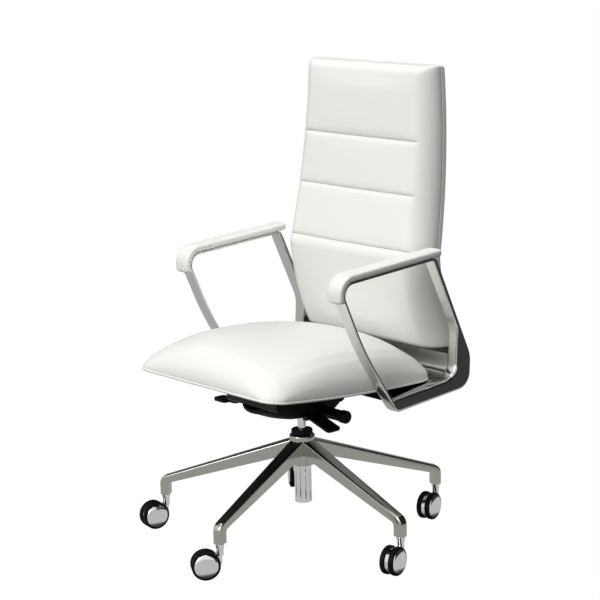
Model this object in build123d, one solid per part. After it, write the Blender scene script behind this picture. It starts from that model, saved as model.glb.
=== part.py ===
from build123d import *
import math
import os

# Swivel office chair on a five-arm base with twin-wheel castors.
# Frame: origin on the floor under the swivel axis, the chair faces -Y,
# +X is the sitter's left, +Z is up. Millimetres and degrees.

# Castors
WHEEL_DIA = 65.0
WHEEL_WIDTH = 12.5
WHEEL_GAP = 9.0
WHEEL_ROUNDING = 3.5
WHEEL_SIDE_GAP = 0.5
CAP_DIA = 54.0
CAP_SEAT = 2.5
CAP_DOME = 4.5
CASTOR_TRAIL = 33.0
CASTOR_HEIGHT = 79.0
CASTOR_AXLE_DIA = 8.0
STEM_DIA = 10.0
STEM_IN_FORK = 22.0
STEM_IN_BASE = 30.0
NECK_DIA = 16.0
NECK_TOP_DIA = 21.0
NECK_FLARE = 14.0
NECK_FLOOR = 5.0
FORK_DISC_INSET = 3.5
CASTOR_TRAIL_ANGLES = (285.0, 140.0, 259.0, 239.0, 284.0)

# Five-arm base
BASE_TURN = 69.7
BASE_RADIUS = 340.0
HUB_TOP = 245.0
HUB_HEIGHT = 72.0
HUB_TOP_DIA = 60.0
HUB_BOTTOM_DIA = 58.0
HUB_ROUNDING = 5.0
ARM_TOP_AT_HUB = 241.0
ARM_END_RISE = 46.0
ARM_DEPTH_HUB = 36.0
ARM_DEPTH_END = 24.0
ARM_WIDTH_HUB = 36.0
ARM_WIDTH_END = 21.0
ARM_END_REACH = 11.0
ARM_TOP_ROUNDING = 4.0
ARM_UPPER_NORMAL = 0.2
ARM_END_NORMAL = 0.9

# Gas column
COLUMN_DIA = 40.0
COLUMN_WALL = 2.0
COLUMN_BOTTOM = 82.0
COLUMN_FLOOR = 4.0
SEAT_TAPER = 2.5
COLLAR_DIA = 50.0
COLLAR_HEIGHT = 12.0
COLUMN_SHOWING = 24.0
BUSH_DEPTH = 80.0
CYLINDER_DIA = 20.0
CYLINDER_WALL = 2.0
CYLINDER_GLAND = 12.0
ROD_DIA = 10.0
PISTON_HEIGHT = 10.0
LIFT_UP = 85.0
LIFT_DOWN = 15.0
LIFT_SPARE = 2.0
BEARING_DIA = 26.0
BEARING_HEIGHT = 6.0
SHOULDER_DIA = 24.0
SHOULDER_HEIGHT = 5.0
CLIP_DIA = 18.0
CLIP_HEIGHT = 2.0
VALVE_DIA = 6.0
VALVE_DEPTH = 26.0
VALVE_STANDS = 6.0

# Tilt mechanism, heights above the mechanism's underside
MECH_HALF_WIDTH = 88.0
MECH_WALL = 6.0
MECH_FLOOR = 28.0
MECH_FRONT = -150.0
MECH_REAR = 46.0
MECH_FRONT_TOP = 96.0
MECH_REAR_TOP = 78.0
MECH_FRONT_RISE = 58.0
MECH_REAR_RISE = 50.0
MECH_FLAT_FRONT = -62.0
MECH_FLAT_REAR = 14.0
SOCKET_DIA = 34.0
SOCKET_BOTTOM = 10.0
SOCKET_HEIGHT = 42.0
SOCKET_TAPER = 1.0
COVER_WALL = 2.5
BELLY_HALF_WIDTH = 34.0
BELLY_H = 7.0
BELLY_NOSE_H = 41.0
BELLY_FRONT = -66.0
BELLY_REAR = 30.0
TILT_AXLE_Y = 24.0
TILT_AXLE_H = 68.0
TILT_AXLE_DIA = 16.0
TORSION_SLEEVE_DIA = 28.0
TORSION_SLEEVE_HALF = 52.0
SEAT_PIVOT_Y = -100.0
SEAT_PIVOT_H = 78.0
SEAT_PIVOT_DIA = 12.0
HANDLE_Y = -4.0
HANDLE_H = 33.0
HANDLE_DIA = 26.0
HANDLE_COLLAR_DIA = 30.0
HANDLE_COLLAR_WIDTH = 17.0
HANDLE_REACH = 74.0
HANDLE_SHAFT_DIA = 12.0
LEVER_H = 62.0
LEVER_PIVOT_INSET = 12.0
LEVER_BAR_DIA = 9.0
LEVER_REACH = 222.0
LEVER_FORWARD = 42.0
LEVER_DROP = 50.0
LEVER_ROOM = 3.0
PADDLE_LENGTH = 44.0
PADDLE_WIDTH = 34.0
PADDLE_THICK = 8.0
LOCK_Y = -46.0
LOCK_H = 33.0
LOCK_WIDTH = 40.0
LOCK_REACH = 74.0
LOCK_DROP_ANGLE = 17.0
LOCK_THICK = 6.0
LOCK_EAR = 6.0

# Seat
SEAT_WIDTH = 490.0
SEAT_FRONT = -294.0
SEAT_REAR = 198.0
SEAT_FRONT_H = 134.0
SEAT_REAR_H = 111.0
SEAT_CROWN = 97.0
SEAT_SIDE_HEIGHT = 60.0
SEAT_SIDE_INSET = 34.0
SEAT_CORNER = 42.0
SEAT_BULGE_IN = 0.16
SEAT_BULGE_UP = 0.6
SEAT_END_SWELL = 0.16
SEAT_SWELL_RUN = 1.25
SEAT_SWELL_POWER = 0.6
SEAT_STATIONS = (0.0, 0.004, 0.013, 0.034, 0.085, 0.17, 0.28, 0.5)
PAN_THICK = 10.0
PAN_INSET = 42.0
PLATE_THICK = 5.0
PLATE_FRONT = -140.0
PLATE_REAR = 100.0
PLATE_HALF_WIDTH = 98.0
LUG_WIDTH = 6.0
LUG_LENGTH = 30.0
SEAT_BOLT_DIA = 6.0
SEAT_BOLT_HEAD = 11.0
SEAT_BOLT_INSET = 26.0

# Back
BACK_WIDTH = 462.0
BACK_TOP_WIDTH = 420.0
BACK_FOOT_H = 162.0
BACK_TOP_H = 808.0
BACK_CORNER = 12.0
LUMBAR_H = 374.0
LUMBAR_Y = 214.0
LUMBAR_UPPER_SLOPE = 0.21
LUMBAR_UPPER_RADIUS = 1850.0
LUMBAR_LOWER_SLOPE = 0.08
LUMBAR_LOWER_RADIUS = 555.0
BACK_CUSHION_THICK = 66.0
BACK_TOP_THICK = 47.0
BACK_CUSHION_PUFF = 10.0
BACK_CROWN = 5.0
BACK_CROWN_LEAST = 1.0
BACK_EDGE_ROLL = 20.0
BACK_SEAMS = (394.0, 518.0, 639.0)
BACK_PANEL_STEPS = (0.0, 0.06, 0.25, 0.5, 0.75, 0.94)
BACK_SWELL_POWER = 0.5
SHELL_THICK = 16.0
SHELL_EDGE_ROLL = 3.0
FOOT_THICK = 8.0
FOOT_DEPTH = 62.0

# Yoke and arm loops, heights above the mechanism's underside
ARM_CLEARANCE = 3.0
LOOP_WIDTH = 34.0
LOOP_ROUNDING = 2.0
LOOP_OUTER = (
    (39.0, 56.5), (272.0, 76.0), (276.0, 145.0), (165.0, 391.7), (-132.3, 371.2), (-63.0, 213.0))
LOOP_OUTER_RADII = (20.0, 38.0, 60.0, 16.0, 30.0, 730.0)
LOOP_INNER_RADII = (8.0, 40.0, 80.0, 6.0, 24.0, 730.0)
LOOP_BOTTOM_DEPTH = 33.0
LOOP_REAR_DEPTH = 49.0
LOOP_POST_DEPTH = 11.5
LOOP_TOP_DEPTH = 6.0
LOOP_STRUT_DEPTH = 6.5
YOKE_THICK = 12.0
YOKE_WEB_THICK = 6.0
YOKE_WEB_HALF = 150.0
YOKE_FRONT = 58.0
YOKE_FRONT_H = 82.0
YOKE_BEND = 40.0
YOKE_FLANGE = 10.0
YOKE_SLOT_HALF = 100.0
YOKE_SLOT_REAR = 122.0
EYE_DIA = 26.0
EYE_WIDTH = 16.0
EYE_GAP = 6.0
ARM_STUD_DIA = 8.0
ARM_STUD_LENGTH = 40.0
ARM_STUD_YS = (100.0, 180.0)
BACK_BOLT_DIA = 8.0
BACK_BOLT_HEAD = 14.0
BACK_BOLT_HEAD_HEIGHT = 4.0
BACK_BOLT_INSET = 24.0

# Arm pads
PAD_WIDTH = 45.0
PAD_TOP_COVER = 17.5
PAD_FRONT_Y = -133.0
PAD_DROP = 60.0
PAD_OVERHANG = 18.0
PAD_NOSE_RADIUS = 43.0
PAD_ROUNDING = 6.0

# Clearances, and how far joined shapes run into each other
RUNNING = 0.05
ROOM = 0.4
OVERLAP = 1.0

BEARING_TOP = COLUMN_BOTTOM + COLUMN_FLOOR + BEARING_HEIGHT
CYLINDER_BOTTOM = BEARING_TOP + SHOULDER_HEIGHT + LIFT_DOWN + LIFT_SPARE
PISTON_BOTTOM = CYLINDER_BOTTOM + CYLINDER_GLAND + LIFT_UP + LIFT_SPARE
MECH_Z = HUB_TOP + COLLAR_HEIGHT + COLUMN_SHOWING
ARM_INNER_X = max(SEAT_WIDTH, BACK_WIDTH) / 2 + ARM_CLEARANCE
EYE_X = MECH_HALF_WIDTH + EYE_GAP


def turned(profile):
    """A solid of revolution about Z from (radius, height) corners."""
    corners = [(radius, 0, height) for radius, height in profile]
    return revolve(make_face(Polyline(*corners, close=True)), Axis.Z)


def tube(outer, inner, low, high):
    """An upright round tube between two heights; inner 0 gives a rod."""
    return turned([(inner, low), (outer, low), (outer, high), (inner, high)])


def rod_x(radius, x_low, x_high, y, height):
    """A round rod along X."""
    return Pos(x_low, y, height) * Rot(0, 90, 0) * extrude(Circle(radius), x_high - x_low)


def rod_y(radius, y_low, y_high, x, height):
    """A round rod along Y."""
    return Pos(x, y_low, height) * Rot(-90, 0, 0) * extrude(Circle(radius), y_high - y_low)


def block(low, high):
    """A box between two corners."""
    size = [b - a for a, b in zip(low, high)]
    centre = [(a + b) / 2 for a, b in zip(low, high)]
    return Pos(*centre) * Box(*size)


def side_face(corners, radii):
    """A closed face in the YZ plane with rounded corners, heights above the mechanism."""
    points = [(0, y, MECH_Z + height) for y, height in corners]
    return make_face(FilletPolyline(*points, radius=list(radii), close=True))


def side_prism(corners, radii, x_low, x_high):
    """A side outline carried along X."""
    return extrude(Pos(x_low, 0, 0) * side_face(corners, radii), x_high - x_low, dir=(1, 0, 0))


def mirrored(part):
    """The same piece on the other side of the chair."""
    return mirror(part, Plane.YZ)


def castor_place(index):
    """Where a castor's stem stands and which way its wheels trail."""
    angle = math.radians(BASE_TURN + 360 / len(CASTOR_TRAIL_ANGLES) * index)
    x, y = BASE_RADIUS * math.cos(angle), BASE_RADIUS * math.sin(angle)
    return Pos(x, y, 0) * Rot(0, 0, CASTOR_TRAIL_ANGLES[index])


def castor_wheel():
    """Wheel about Z, from its inner face at 0 to the recess for its cap."""
    radius, recess = WHEEL_DIA / 2, WHEEL_WIDTH - CAP_SEAT
    bore = CASTOR_AXLE_DIA / 2 + RUNNING
    disc = tube(radius, bore, 0, WHEEL_WIDTH)
    rims = disc.edges().filter_by(GeomType.CIRCLE).filter_by(lambda edge: edge.radius > CAP_DIA / 2)
    disc = fillet(rims, WHEEL_ROUNDING)
    return disc - tube(CAP_DIA / 2, 0, recess, WHEEL_WIDTH)


def castor_cap():
    """Domed cap that snaps into the wheel's recess."""
    recess, rim = WHEEL_WIDTH - CAP_SEAT, CAP_DIA / 2
    seat = Line((0, 0, recess), (rim, 0, recess))
    wall = Line(seat @ 1, (rim, 0, WHEEL_WIDTH))
    ball = (rim ** 2 + CAP_DOME ** 2) / (2 * CAP_DOME)
    top = (0, 0, WHEEL_WIDTH + CAP_DOME)
    half_fall = ball - math.sqrt(ball ** 2 - (rim / 2) ** 2)
    dome = ThreePointArc(wall @ 1, (rim / 2, 0, top[2] - half_fall), top)
    return revolve(make_face(seat + wall + dome + Line(top, seat @ 0)), Axis.Z)


def castor_fork():
    """Hooded disc between the wheels and the neck that turns on the stem."""
    radius, thick = WHEEL_DIA / 2 - FORK_DISC_INSET, WHEEL_GAP - 2 * WHEEL_SIDE_GAP
    neck_low = CASTOR_HEIGHT - STEM_IN_FORK - NECK_FLOOR
    neck_top = CASTOR_HEIGHT - WHEEL_SIDE_GAP
    disc = rod_y(radius, -thick / 2, thick / 2, CASTOR_TRAIL, WHEEL_DIA / 2)
    web_low = WHEEL_DIA / 2
    web = block((-NECK_DIA / 4, -thick / 2, web_low), (CASTOR_TRAIL, thick / 2, neck_low + NECK_DIA / 4))
    neck = turned([
        (0, neck_low), (NECK_DIA / 2, neck_low), (NECK_DIA / 2, neck_top - NECK_FLARE),
        (NECK_TOP_DIA / 2, neck_top), (0, neck_top)])
    bore = tube(STEM_DIA / 2 + RUNNING, 0, CASTOR_HEIGHT - STEM_IN_FORK - ROOM, CASTOR_HEIGHT)
    pin = rod_y(CASTOR_AXLE_DIA / 2, -thick, thick, CASTOR_TRAIL, WHEEL_DIA / 2)
    return disc + web + neck - bore - pin


def castor_nodes():
    """Fork, axle, two wheels and two caps for every castor, and the pressed stems."""
    inner = WHEEL_GAP / 2
    axle_half = inner + WHEEL_WIDTH - CAP_SEAT - ROOM
    left = Pos(CASTOR_TRAIL, inner, WHEEL_DIA / 2) * Rot(-90, 0, 0)
    right = Pos(CASTOR_TRAIL, -inner, WHEEL_DIA / 2) * Rot(90, 0, 0)
    stem = tube(STEM_DIA / 2, 0, CASTOR_HEIGHT - STEM_IN_FORK, CASTOR_HEIGHT + STEM_IN_BASE)
    nodes, stems = {}, []
    for index in range(len(CASTOR_TRAIL_ANGLES)):
        place, number = castor_place(index), index + 1
        nodes[f"castor_fork_{number}"] = place * castor_fork()
        nodes[f"castor_axle_{number}"] = place * rod_y(
            CASTOR_AXLE_DIA / 2, -axle_half, axle_half, CASTOR_TRAIL, WHEEL_DIA / 2)
        for side, seat in (("left", left), ("right", right)):
            nodes[f"castor_wheel_{side}_{number}"] = place * seat * castor_wheel()
            nodes[f"castor_cap_{side}_{number}"] = place * seat * castor_cap()
        stems.append(place * stem)
    nodes["castor_stems"] = Part() + stems
    return nodes


def base_arm():
    """One arm along +X: sloping tapered beam, knuckle and drop to the castor."""
    end, reach = BASE_RADIUS, ARM_END_REACH
    knuckle_top = CASTOR_HEIGHT + ARM_END_RISE
    slope = (ARM_TOP_AT_HUB - knuckle_top) / (end - reach)
    under_hub = ARM_TOP_AT_HUB - ARM_DEPTH_HUB
    under_end = knuckle_top - ARM_DEPTH_END + slope * 2 * reach
    profile = FilletPolyline(
        (0, 0, ARM_TOP_AT_HUB), (end + reach, 0, knuckle_top - slope * reach),
        (end + reach, 0, CASTOR_HEIGHT), (end - reach, 0, CASTOR_HEIGHT),
        (end - reach, 0, under_end), (0, 0, under_hub),
        radius=[0, 2 * reach - OVERLAP, 0, 0, reach, 0], close=True)
    side = extrude(make_face(profile), ARM_WIDTH_HUB, both=True, dir=(0, 1, 0))
    hub_half, end_half = ARM_WIDTH_HUB / 2, ARM_WIDTH_END / 2
    plan = make_face(Polyline(
        (0, -hub_half), (end + reach, -end_half), (end + reach, end_half), (0, hub_half), close=True))
    beam = side & extrude(plan, HUB_TOP + ARM_DEPTH_HUB)
    upper = beam.faces().filter_by(
        lambda face: face.normal_at().Z > ARM_UPPER_NORMAL or face.normal_at().X > ARM_END_NORMAL)
    flanks = [edge for face in upper for edge in face.edges() if abs(edge.center().Y) > end_half - OVERLAP]
    return fillet(flanks, ARM_TOP_ROUNDING)


def base_nodes():
    """The cast base with its tapered column seat and castor sockets."""
    low = HUB_TOP - HUB_HEIGHT
    hub = turned([(0, low), (HUB_BOTTOM_DIA / 2, low), (HUB_TOP_DIA / 2, HUB_TOP), (0, HUB_TOP)])
    hub = fillet(hub.edges().group_by(Axis.Z)[-1], HUB_ROUNDING)
    base = hub
    for index in range(len(CASTOR_TRAIL_ANGLES)):
        base += Rot(0, 0, BASE_TURN + 360 / len(CASTOR_TRAIL_ANGLES) * index) * base_arm()
    base -= turned([
        (0, low - ARM_DEPTH_HUB), (COLUMN_DIA / 2, low - ARM_DEPTH_HUB), (COLUMN_DIA / 2, low),
        (COLUMN_DIA / 2 + SEAT_TAPER, HUB_TOP), (0, HUB_TOP)])
    socket = tube(STEM_DIA / 2, 0, CASTOR_HEIGHT - ROOM, CASTOR_HEIGHT + STEM_IN_BASE)
    for index in range(len(CASTOR_TRAIL_ANGLES)):
        base -= castor_place(index) * socket
    return {"star_base": base}


def column_nodes():
    """Outer tube, collar bush, bearing, gas cylinder, piston rod, clip and valve pin."""
    low, radius = HUB_TOP - HUB_HEIGHT, COLUMN_DIA / 2
    inside, floor = radius - COLUMN_WALL, COLUMN_BOTTOM + COLUMN_FLOOR
    rod_hole = ROD_DIA / 2 + ROOM
    outer = turned([
        (rod_hole, COLUMN_BOTTOM), (radius, COLUMN_BOTTOM), (radius, low), (radius + SEAT_TAPER, HUB_TOP),
        (inside, HUB_TOP), (inside, floor), (rod_hole, floor)])
    bush_bore = CYLINDER_DIA / 2 + RUNNING
    collar_top = HUB_TOP + COLLAR_HEIGHT
    bush = turned([
        (bush_bore, HUB_TOP - BUSH_DEPTH), (inside, HUB_TOP - BUSH_DEPTH), (inside, HUB_TOP),
        (COLLAR_DIA / 2, HUB_TOP), (COLLAR_DIA / 2, collar_top), (bush_bore, collar_top)])
    rims = bush.edges().group_by(Axis.Z)[-1].sort_by(SortBy.RADIUS)[-1:]
    bush = fillet(rims, COLLAR_HEIGHT / 4)
    bearing = tube(BEARING_DIA / 2, rod_hole, floor, BEARING_TOP)

    seat_low, seat_top = MECH_Z + SOCKET_BOTTOM, MECH_Z + SOCKET_BOTTOM + SOCKET_HEIGHT
    bore, gland = CYLINDER_DIA / 2 - CYLINDER_WALL, CYLINDER_BOTTOM + CYLINDER_GLAND
    head = seat_top - VALVE_DEPTH - CYLINDER_WALL
    cylinder = turned([
        (0, head), (bore, head), (bore, gland), (ROD_DIA / 2 + RUNNING, gland),
        (ROD_DIA / 2 + RUNNING, CYLINDER_BOTTOM), (CYLINDER_DIA / 2, CYLINDER_BOTTOM),
        (CYLINDER_DIA / 2, seat_low), (CYLINDER_DIA / 2 - SOCKET_TAPER, seat_top),
        (VALVE_DIA / 2 + RUNNING, seat_top), (VALVE_DIA / 2 + RUNNING, seat_top - VALVE_DEPTH),
        (0, seat_top - VALVE_DEPTH)])
    clip_top = COLUMN_BOTTOM - ROOM
    shoulder, piston_top = BEARING_TOP + SHOULDER_HEIGHT, PISTON_BOTTOM + PISTON_HEIGHT
    rod = turned([
        (0, clip_top - CLIP_HEIGHT), (ROD_DIA / 2, clip_top - CLIP_HEIGHT), (ROD_DIA / 2, BEARING_TOP),
        (SHOULDER_DIA / 2, BEARING_TOP), (SHOULDER_DIA / 2, shoulder), (ROD_DIA / 2, shoulder),
        (ROD_DIA / 2, PISTON_BOTTOM), (bore - RUNNING, PISTON_BOTTOM), (bore - RUNNING, piston_top),
        (0, piston_top)])
    clip = tube(CLIP_DIA / 2, ROD_DIA / 2, clip_top - CLIP_HEIGHT, clip_top)
    valve_low = seat_top + VALVE_STANDS - VALVE_DEPTH
    valve = tube(VALVE_DIA / 2, 0, valve_low, seat_top + VALVE_STANDS)
    return {
        "column_tube": outer, "guide_bush": bush, "thrust_bearing": bearing, "gas_cylinder": cylinder,
        "piston_rod": rod, "rod_clip": clip, "valve_pin": valve}


def mechanism_outline(offset):
    """Boat-shaped side outline of the mechanism, shrunk by a wall all round but the top."""
    return [
        (MECH_FRONT + offset, MECH_FRONT_TOP), (MECH_REAR - offset, MECH_REAR_TOP),
        (MECH_REAR - offset, MECH_REAR_RISE + offset), (MECH_FLAT_REAR, MECH_FLOOR + offset),
        (MECH_FLAT_FRONT, MECH_FLOOR + offset), (MECH_FRONT + offset, MECH_FRONT_RISE + offset)]


def mechanism_housing():
    """Cast tub with the column socket, pivot bores and lever ears."""
    half, inner = MECH_HALF_WIDTH, MECH_HALF_WIDTH - MECH_WALL
    rounding = [0, 0, MECH_WALL, 2 * MECH_WALL, 2 * MECH_WALL, MECH_WALL]
    tub = side_prism(mechanism_outline(0), rounding, -half, half)
    cavity = side_prism(mechanism_outline(MECH_WALL), rounding, -inner, inner)
    over = [(MECH_FRONT + MECH_WALL, MECH_FRONT_TOP), (MECH_REAR - MECH_WALL, MECH_REAR_TOP),
            (MECH_REAR - MECH_WALL, MECH_FRONT_TOP + MECH_WALL),
            (MECH_FRONT + MECH_WALL, MECH_FRONT_TOP + MECH_WALL)]
    tub = tub - cavity - side_prism(over, [0] * len(over), -inner, inner)
    low, high = MECH_Z + SOCKET_BOTTOM, MECH_Z + SOCKET_BOTTOM + SOCKET_HEIGHT
    tub += tube(SOCKET_DIA / 2, 0, low, high)
    tub -= turned([
        (0, low), (CYLINDER_DIA / 2, low), (CYLINDER_DIA / 2 - SOCKET_TAPER, high), (0, high)])
    tub -= rod_x(TILT_AXLE_DIA / 2, -half, half, TILT_AXLE_Y, MECH_Z + TILT_AXLE_H)
    tub -= rod_x(SEAT_PIVOT_DIA / 2, -half, half, SEAT_PIVOT_Y, MECH_Z + SEAT_PIVOT_H)
    shaft_end = inner - MECH_WALL - OVERLAP
    tub -= rod_x(HANDLE_SHAFT_DIA / 2 + RUNNING, shaft_end, half, HANDLE_Y, MECH_Z + HANDLE_H)
    return tub + lever_ears() + lock_ears() - lever_slot()


def lever_slot():
    """Opening in the right wall for the height lever, with room for its swing."""
    room = LEVER_BAR_DIA / 2 + LEVER_ROOM
    low, high = MECH_Z + LEVER_H - 2 * room, MECH_Z + MECH_FRONT_TOP
    outer, inner = -MECH_HALF_WIDTH - OVERLAP, -MECH_HALF_WIDTH + MECH_WALL + OVERLAP
    return block((outer, -room, low), (inner, room, high))


def lever_ears():
    """Two ears inside the right wall that carry the height lever's trunnion."""
    x = -MECH_HALF_WIDTH + LEVER_PIVOT_INSET
    gap, ear = LEVER_BAR_DIA / 2 + LEVER_ROOM + ROOM, LOCK_EAR
    ears = Part()
    for low, high in ((gap, gap + ear), (-gap - ear, -gap)):
        ears += block((-MECH_HALF_WIDTH + OVERLAP, low, MECH_Z + LEVER_H - ear),
                      (x + ear, high, MECH_Z + LEVER_H + ear))
    return ears - rod_y(LEVER_BAR_DIA / 2 + RUNNING, -gap - 2 * ear, gap + 2 * ear, x, MECH_Z + LEVER_H)


def lock_ears():
    """Two ears outside the left wall with the cast pin of the lock lever."""
    x, half = MECH_HALF_WIDTH + LOCK_THICK + ROOM, LOCK_WIDTH / 2 + ROOM
    ears = rod_y(LOCK_THICK / 2, LOCK_Y - half - OVERLAP, LOCK_Y + half + OVERLAP, x, MECH_Z + LOCK_H)
    for low, high in ((half, half + LOCK_EAR), (-half - LOCK_EAR, -half)):
        ears += block((MECH_HALF_WIDTH - OVERLAP, LOCK_Y + low, MECH_Z + LOCK_H - LOCK_EAR),
                      (x + LOCK_EAR, LOCK_Y + high, MECH_Z + LOCK_H + LOCK_EAR))
    return ears


def mechanism_cover():
    """Narrow belly tray under the tub, open above its floor, with a hole for the gas cylinder."""
    rim = BELLY_HALF_WIDTH - MECH_WALL
    belly = [
        (MECH_FRONT, MECH_FRONT_RISE), (MECH_FLAT_FRONT, MECH_FLOOR), (MECH_FLAT_REAR, MECH_FLOOR),
        (MECH_REAR, MECH_REAR_RISE), (MECH_REAR, MECH_REAR_RISE - COVER_WALL),
        (BELLY_REAR, BELLY_H), (BELLY_FRONT, BELLY_H), (MECH_FRONT, BELLY_NOSE_H)]
    bend = 2 * MECH_WALL
    radii = [0, bend, bend, 0, 0, MECH_WALL, 2 * bend, MECH_WALL]
    tray = side_prism(belly, radii, -BELLY_HALF_WIDTH, BELLY_HALF_WIDTH)
    floor, rear = BELLY_H + COVER_WALL, BELLY_REAR - 2 * COVER_WALL
    hollow = [
        (MECH_FLAT_FRONT, floor), (rear, floor), (rear, MECH_REAR_RISE), (MECH_FLAT_FRONT, MECH_REAR_RISE)]
    tray -= side_prism(hollow, [0] * len(hollow), -rim, rim)
    return tray - tube(CYLINDER_DIA / 2 + 2 * ROOM, 0, MECH_Z, MECH_Z + MECH_FLOOR)


def tension_handle():
    """Round handle on the left wall with an end collar and a shaft through the wall."""
    x = MECH_HALF_WIDTH + ROOM
    height, end = MECH_Z + HANDLE_H, MECH_HALF_WIDTH + HANDLE_REACH
    grip = rod_x(HANDLE_DIA / 2, x, end - HANDLE_COLLAR_WIDTH, HANDLE_Y, height)
    collar = rod_x(HANDLE_COLLAR_DIA / 2, end - HANDLE_COLLAR_WIDTH, end, HANDLE_Y, height)
    collar = fillet(collar.edges().group_by(Axis.X)[-1], HANDLE_COLLAR_WIDTH / 4)
    inner = MECH_HALF_WIDTH - 2 * MECH_WALL
    return grip + collar + rod_x(HANDLE_SHAFT_DIA / 2, inner, x, HANDLE_Y, height)


def height_lever():
    """Finger over the valve pin, trunnion, bent bar and paddle on the right side."""
    height, pivot = MECH_Z + LEVER_H, -MECH_HALF_WIDTH + LEVER_PIVOT_INSET
    radius = LEVER_BAR_DIA / 2
    valve_top = MECH_Z + SOCKET_BOTTOM + SOCKET_HEIGHT + VALVE_STANDS
    finger = block((pivot, -radius, valve_top + ROOM), (VALVE_DIA, radius, height + radius / 2))
    gap = radius + LEVER_ROOM + ROOM
    trunnion = rod_y(radius, -gap - LOCK_EAR, gap + LOCK_EAR, pivot, height)
    elbow = -MECH_HALF_WIDTH - LEVER_FORWARD
    tip = (-LEVER_REACH, -LEVER_FORWARD, height - LEVER_DROP)
    path = FilletPolyline(
        (pivot, 0, height), (elbow, 0, height), (-LEVER_REACH + PADDLE_LENGTH, -LEVER_FORWARD, tip[2]), tip,
        radius=[LEVER_FORWARD, LEVER_FORWARD])
    bar = sweep(Plane(path @ 0, z_dir=path % 0) * Circle(radius), path=path)
    paddle = Box(PADDLE_LENGTH, PADDLE_WIDTH, PADDLE_THICK)
    paddle = fillet(paddle.edges().filter_by(Axis.Z), PADDLE_WIDTH / 4)
    paddle = fillet(paddle.faces().sort_by(Axis.Z)[-1].edges(), PADDLE_THICK / 4)
    return finger + trunnion + bar + Pos(tip[0] - PADDLE_LENGTH / 4, tip[1], tip[2]) * paddle


def lock_lever():
    """Barrel on the cast pin with a flat paddle that slopes down and out."""
    x, height = MECH_HALF_WIDTH + LOCK_THICK + ROOM, MECH_Z + LOCK_H
    half = LOCK_WIDTH / 2
    barrel = rod_y(LOCK_THICK, LOCK_Y - half, LOCK_Y + half, x, height)
    blade = Pos(LOCK_REACH / 2, 0, 0) * Box(LOCK_REACH, LOCK_WIDTH, LOCK_THICK)
    tip = blade.edges().filter_by(Axis.Z).group_by(Axis.X)[-1]
    blade = fillet(tip, LOCK_WIDTH / 5)
    blade = Pos(x, LOCK_Y, height) * Rot(0, LOCK_DROP_ANGLE, 0) * blade
    return barrel + blade - rod_y(LOCK_THICK / 2 + RUNNING, LOCK_Y - half, LOCK_Y + half, x, height)


def mechanism_nodes():
    """Everything on the mechanism that rides on the gas cylinder."""
    axle_half = EYE_X + EYE_WIDTH + MECH_WALL
    pin_half = MECH_HALF_WIDTH + ROOM + LUG_WIDTH + ROOM
    axle_h, pin_h = MECH_Z + TILT_AXLE_H, MECH_Z + SEAT_PIVOT_H
    sleeve = rod_x(TORSION_SLEEVE_DIA / 2, -TORSION_SLEEVE_HALF, TORSION_SLEEVE_HALF, TILT_AXLE_Y, axle_h)
    axle = rod_x(TILT_AXLE_DIA / 2, -axle_half, axle_half, TILT_AXLE_Y, axle_h)
    return {
        "mechanism_housing": mechanism_housing(), "mechanism_cover": mechanism_cover(),
        "tilt_axle": axle, "tilt_spring": sleeve - axle,
        "seat_pivot_pin": rod_x(SEAT_PIVOT_DIA / 2, -pin_half, pin_half, SEAT_PIVOT_Y, pin_h),
        "tension_handle": tension_handle(), "height_lever": height_lever(), "lock_lever": lock_lever()}


def seat_base(y):
    """Height of the seat's underside above the mechanism at a place along the seat."""
    run = (y - SEAT_FRONT) / (SEAT_REAR - SEAT_FRONT)
    return SEAT_FRONT_H + (SEAT_REAR_H - SEAT_FRONT_H) * run


def seat_slab(y_low, y_high, top_drop, bottom_drop, half_width):
    """A sheet parallel to the seat's underside, set by its distances below it."""
    corners = [
        (y_low, seat_base(y_low) - bottom_drop), (y_high, seat_base(y_high) - bottom_drop),
        (y_high, seat_base(y_high) - top_drop), (y_low, seat_base(y_low) - top_drop)]
    return side_prism(corners, [0] * len(corners), -half_width, half_width)


def seat_section(y):
    """Pillow section across the seat: flat base, bulging sides and a crowned top."""
    from_end = min(y - SEAT_FRONT, SEAT_REAR - y)
    into = min(from_end / SEAT_CORNER, 1)
    corner_cut = SEAT_CORNER * (1 - math.sqrt(1 - (1 - into) ** 2))
    middle = 1 - abs(2 * (y - SEAT_FRONT) / (SEAT_REAR - SEAT_FRONT) - 1)
    rise = math.sin(math.pi / 2 * min(1, middle * SEAT_SWELL_RUN)) ** SEAT_SWELL_POWER
    swell = SEAT_END_SWELL + (1 - SEAT_END_SWELL) * rise
    half, low = SEAT_WIDTH / 2 - corner_cut, MECH_Z + seat_base(y)
    side, crown = SEAT_SIDE_HEIGHT * swell, SEAT_CROWN * swell
    inset = SEAT_SIDE_INSET * (1 + swell) / 2
    base = Line((-half, y, low), (half, y, low))
    bulge = (inset * SEAT_BULGE_IN, side * SEAT_BULGE_UP)
    right = ThreePointArc((half, y, low), (half - bulge[0], y, low + bulge[1]), (half - inset, y, low + side))
    top = ThreePointArc(right @ 1, (0, y, low + crown), (inset - half, y, low + side))
    left = ThreePointArc(top @ 1, (bulge[0] - half, y, low + bulge[1]), (-half, y, low))
    return make_face(base + right + top + left)


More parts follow.
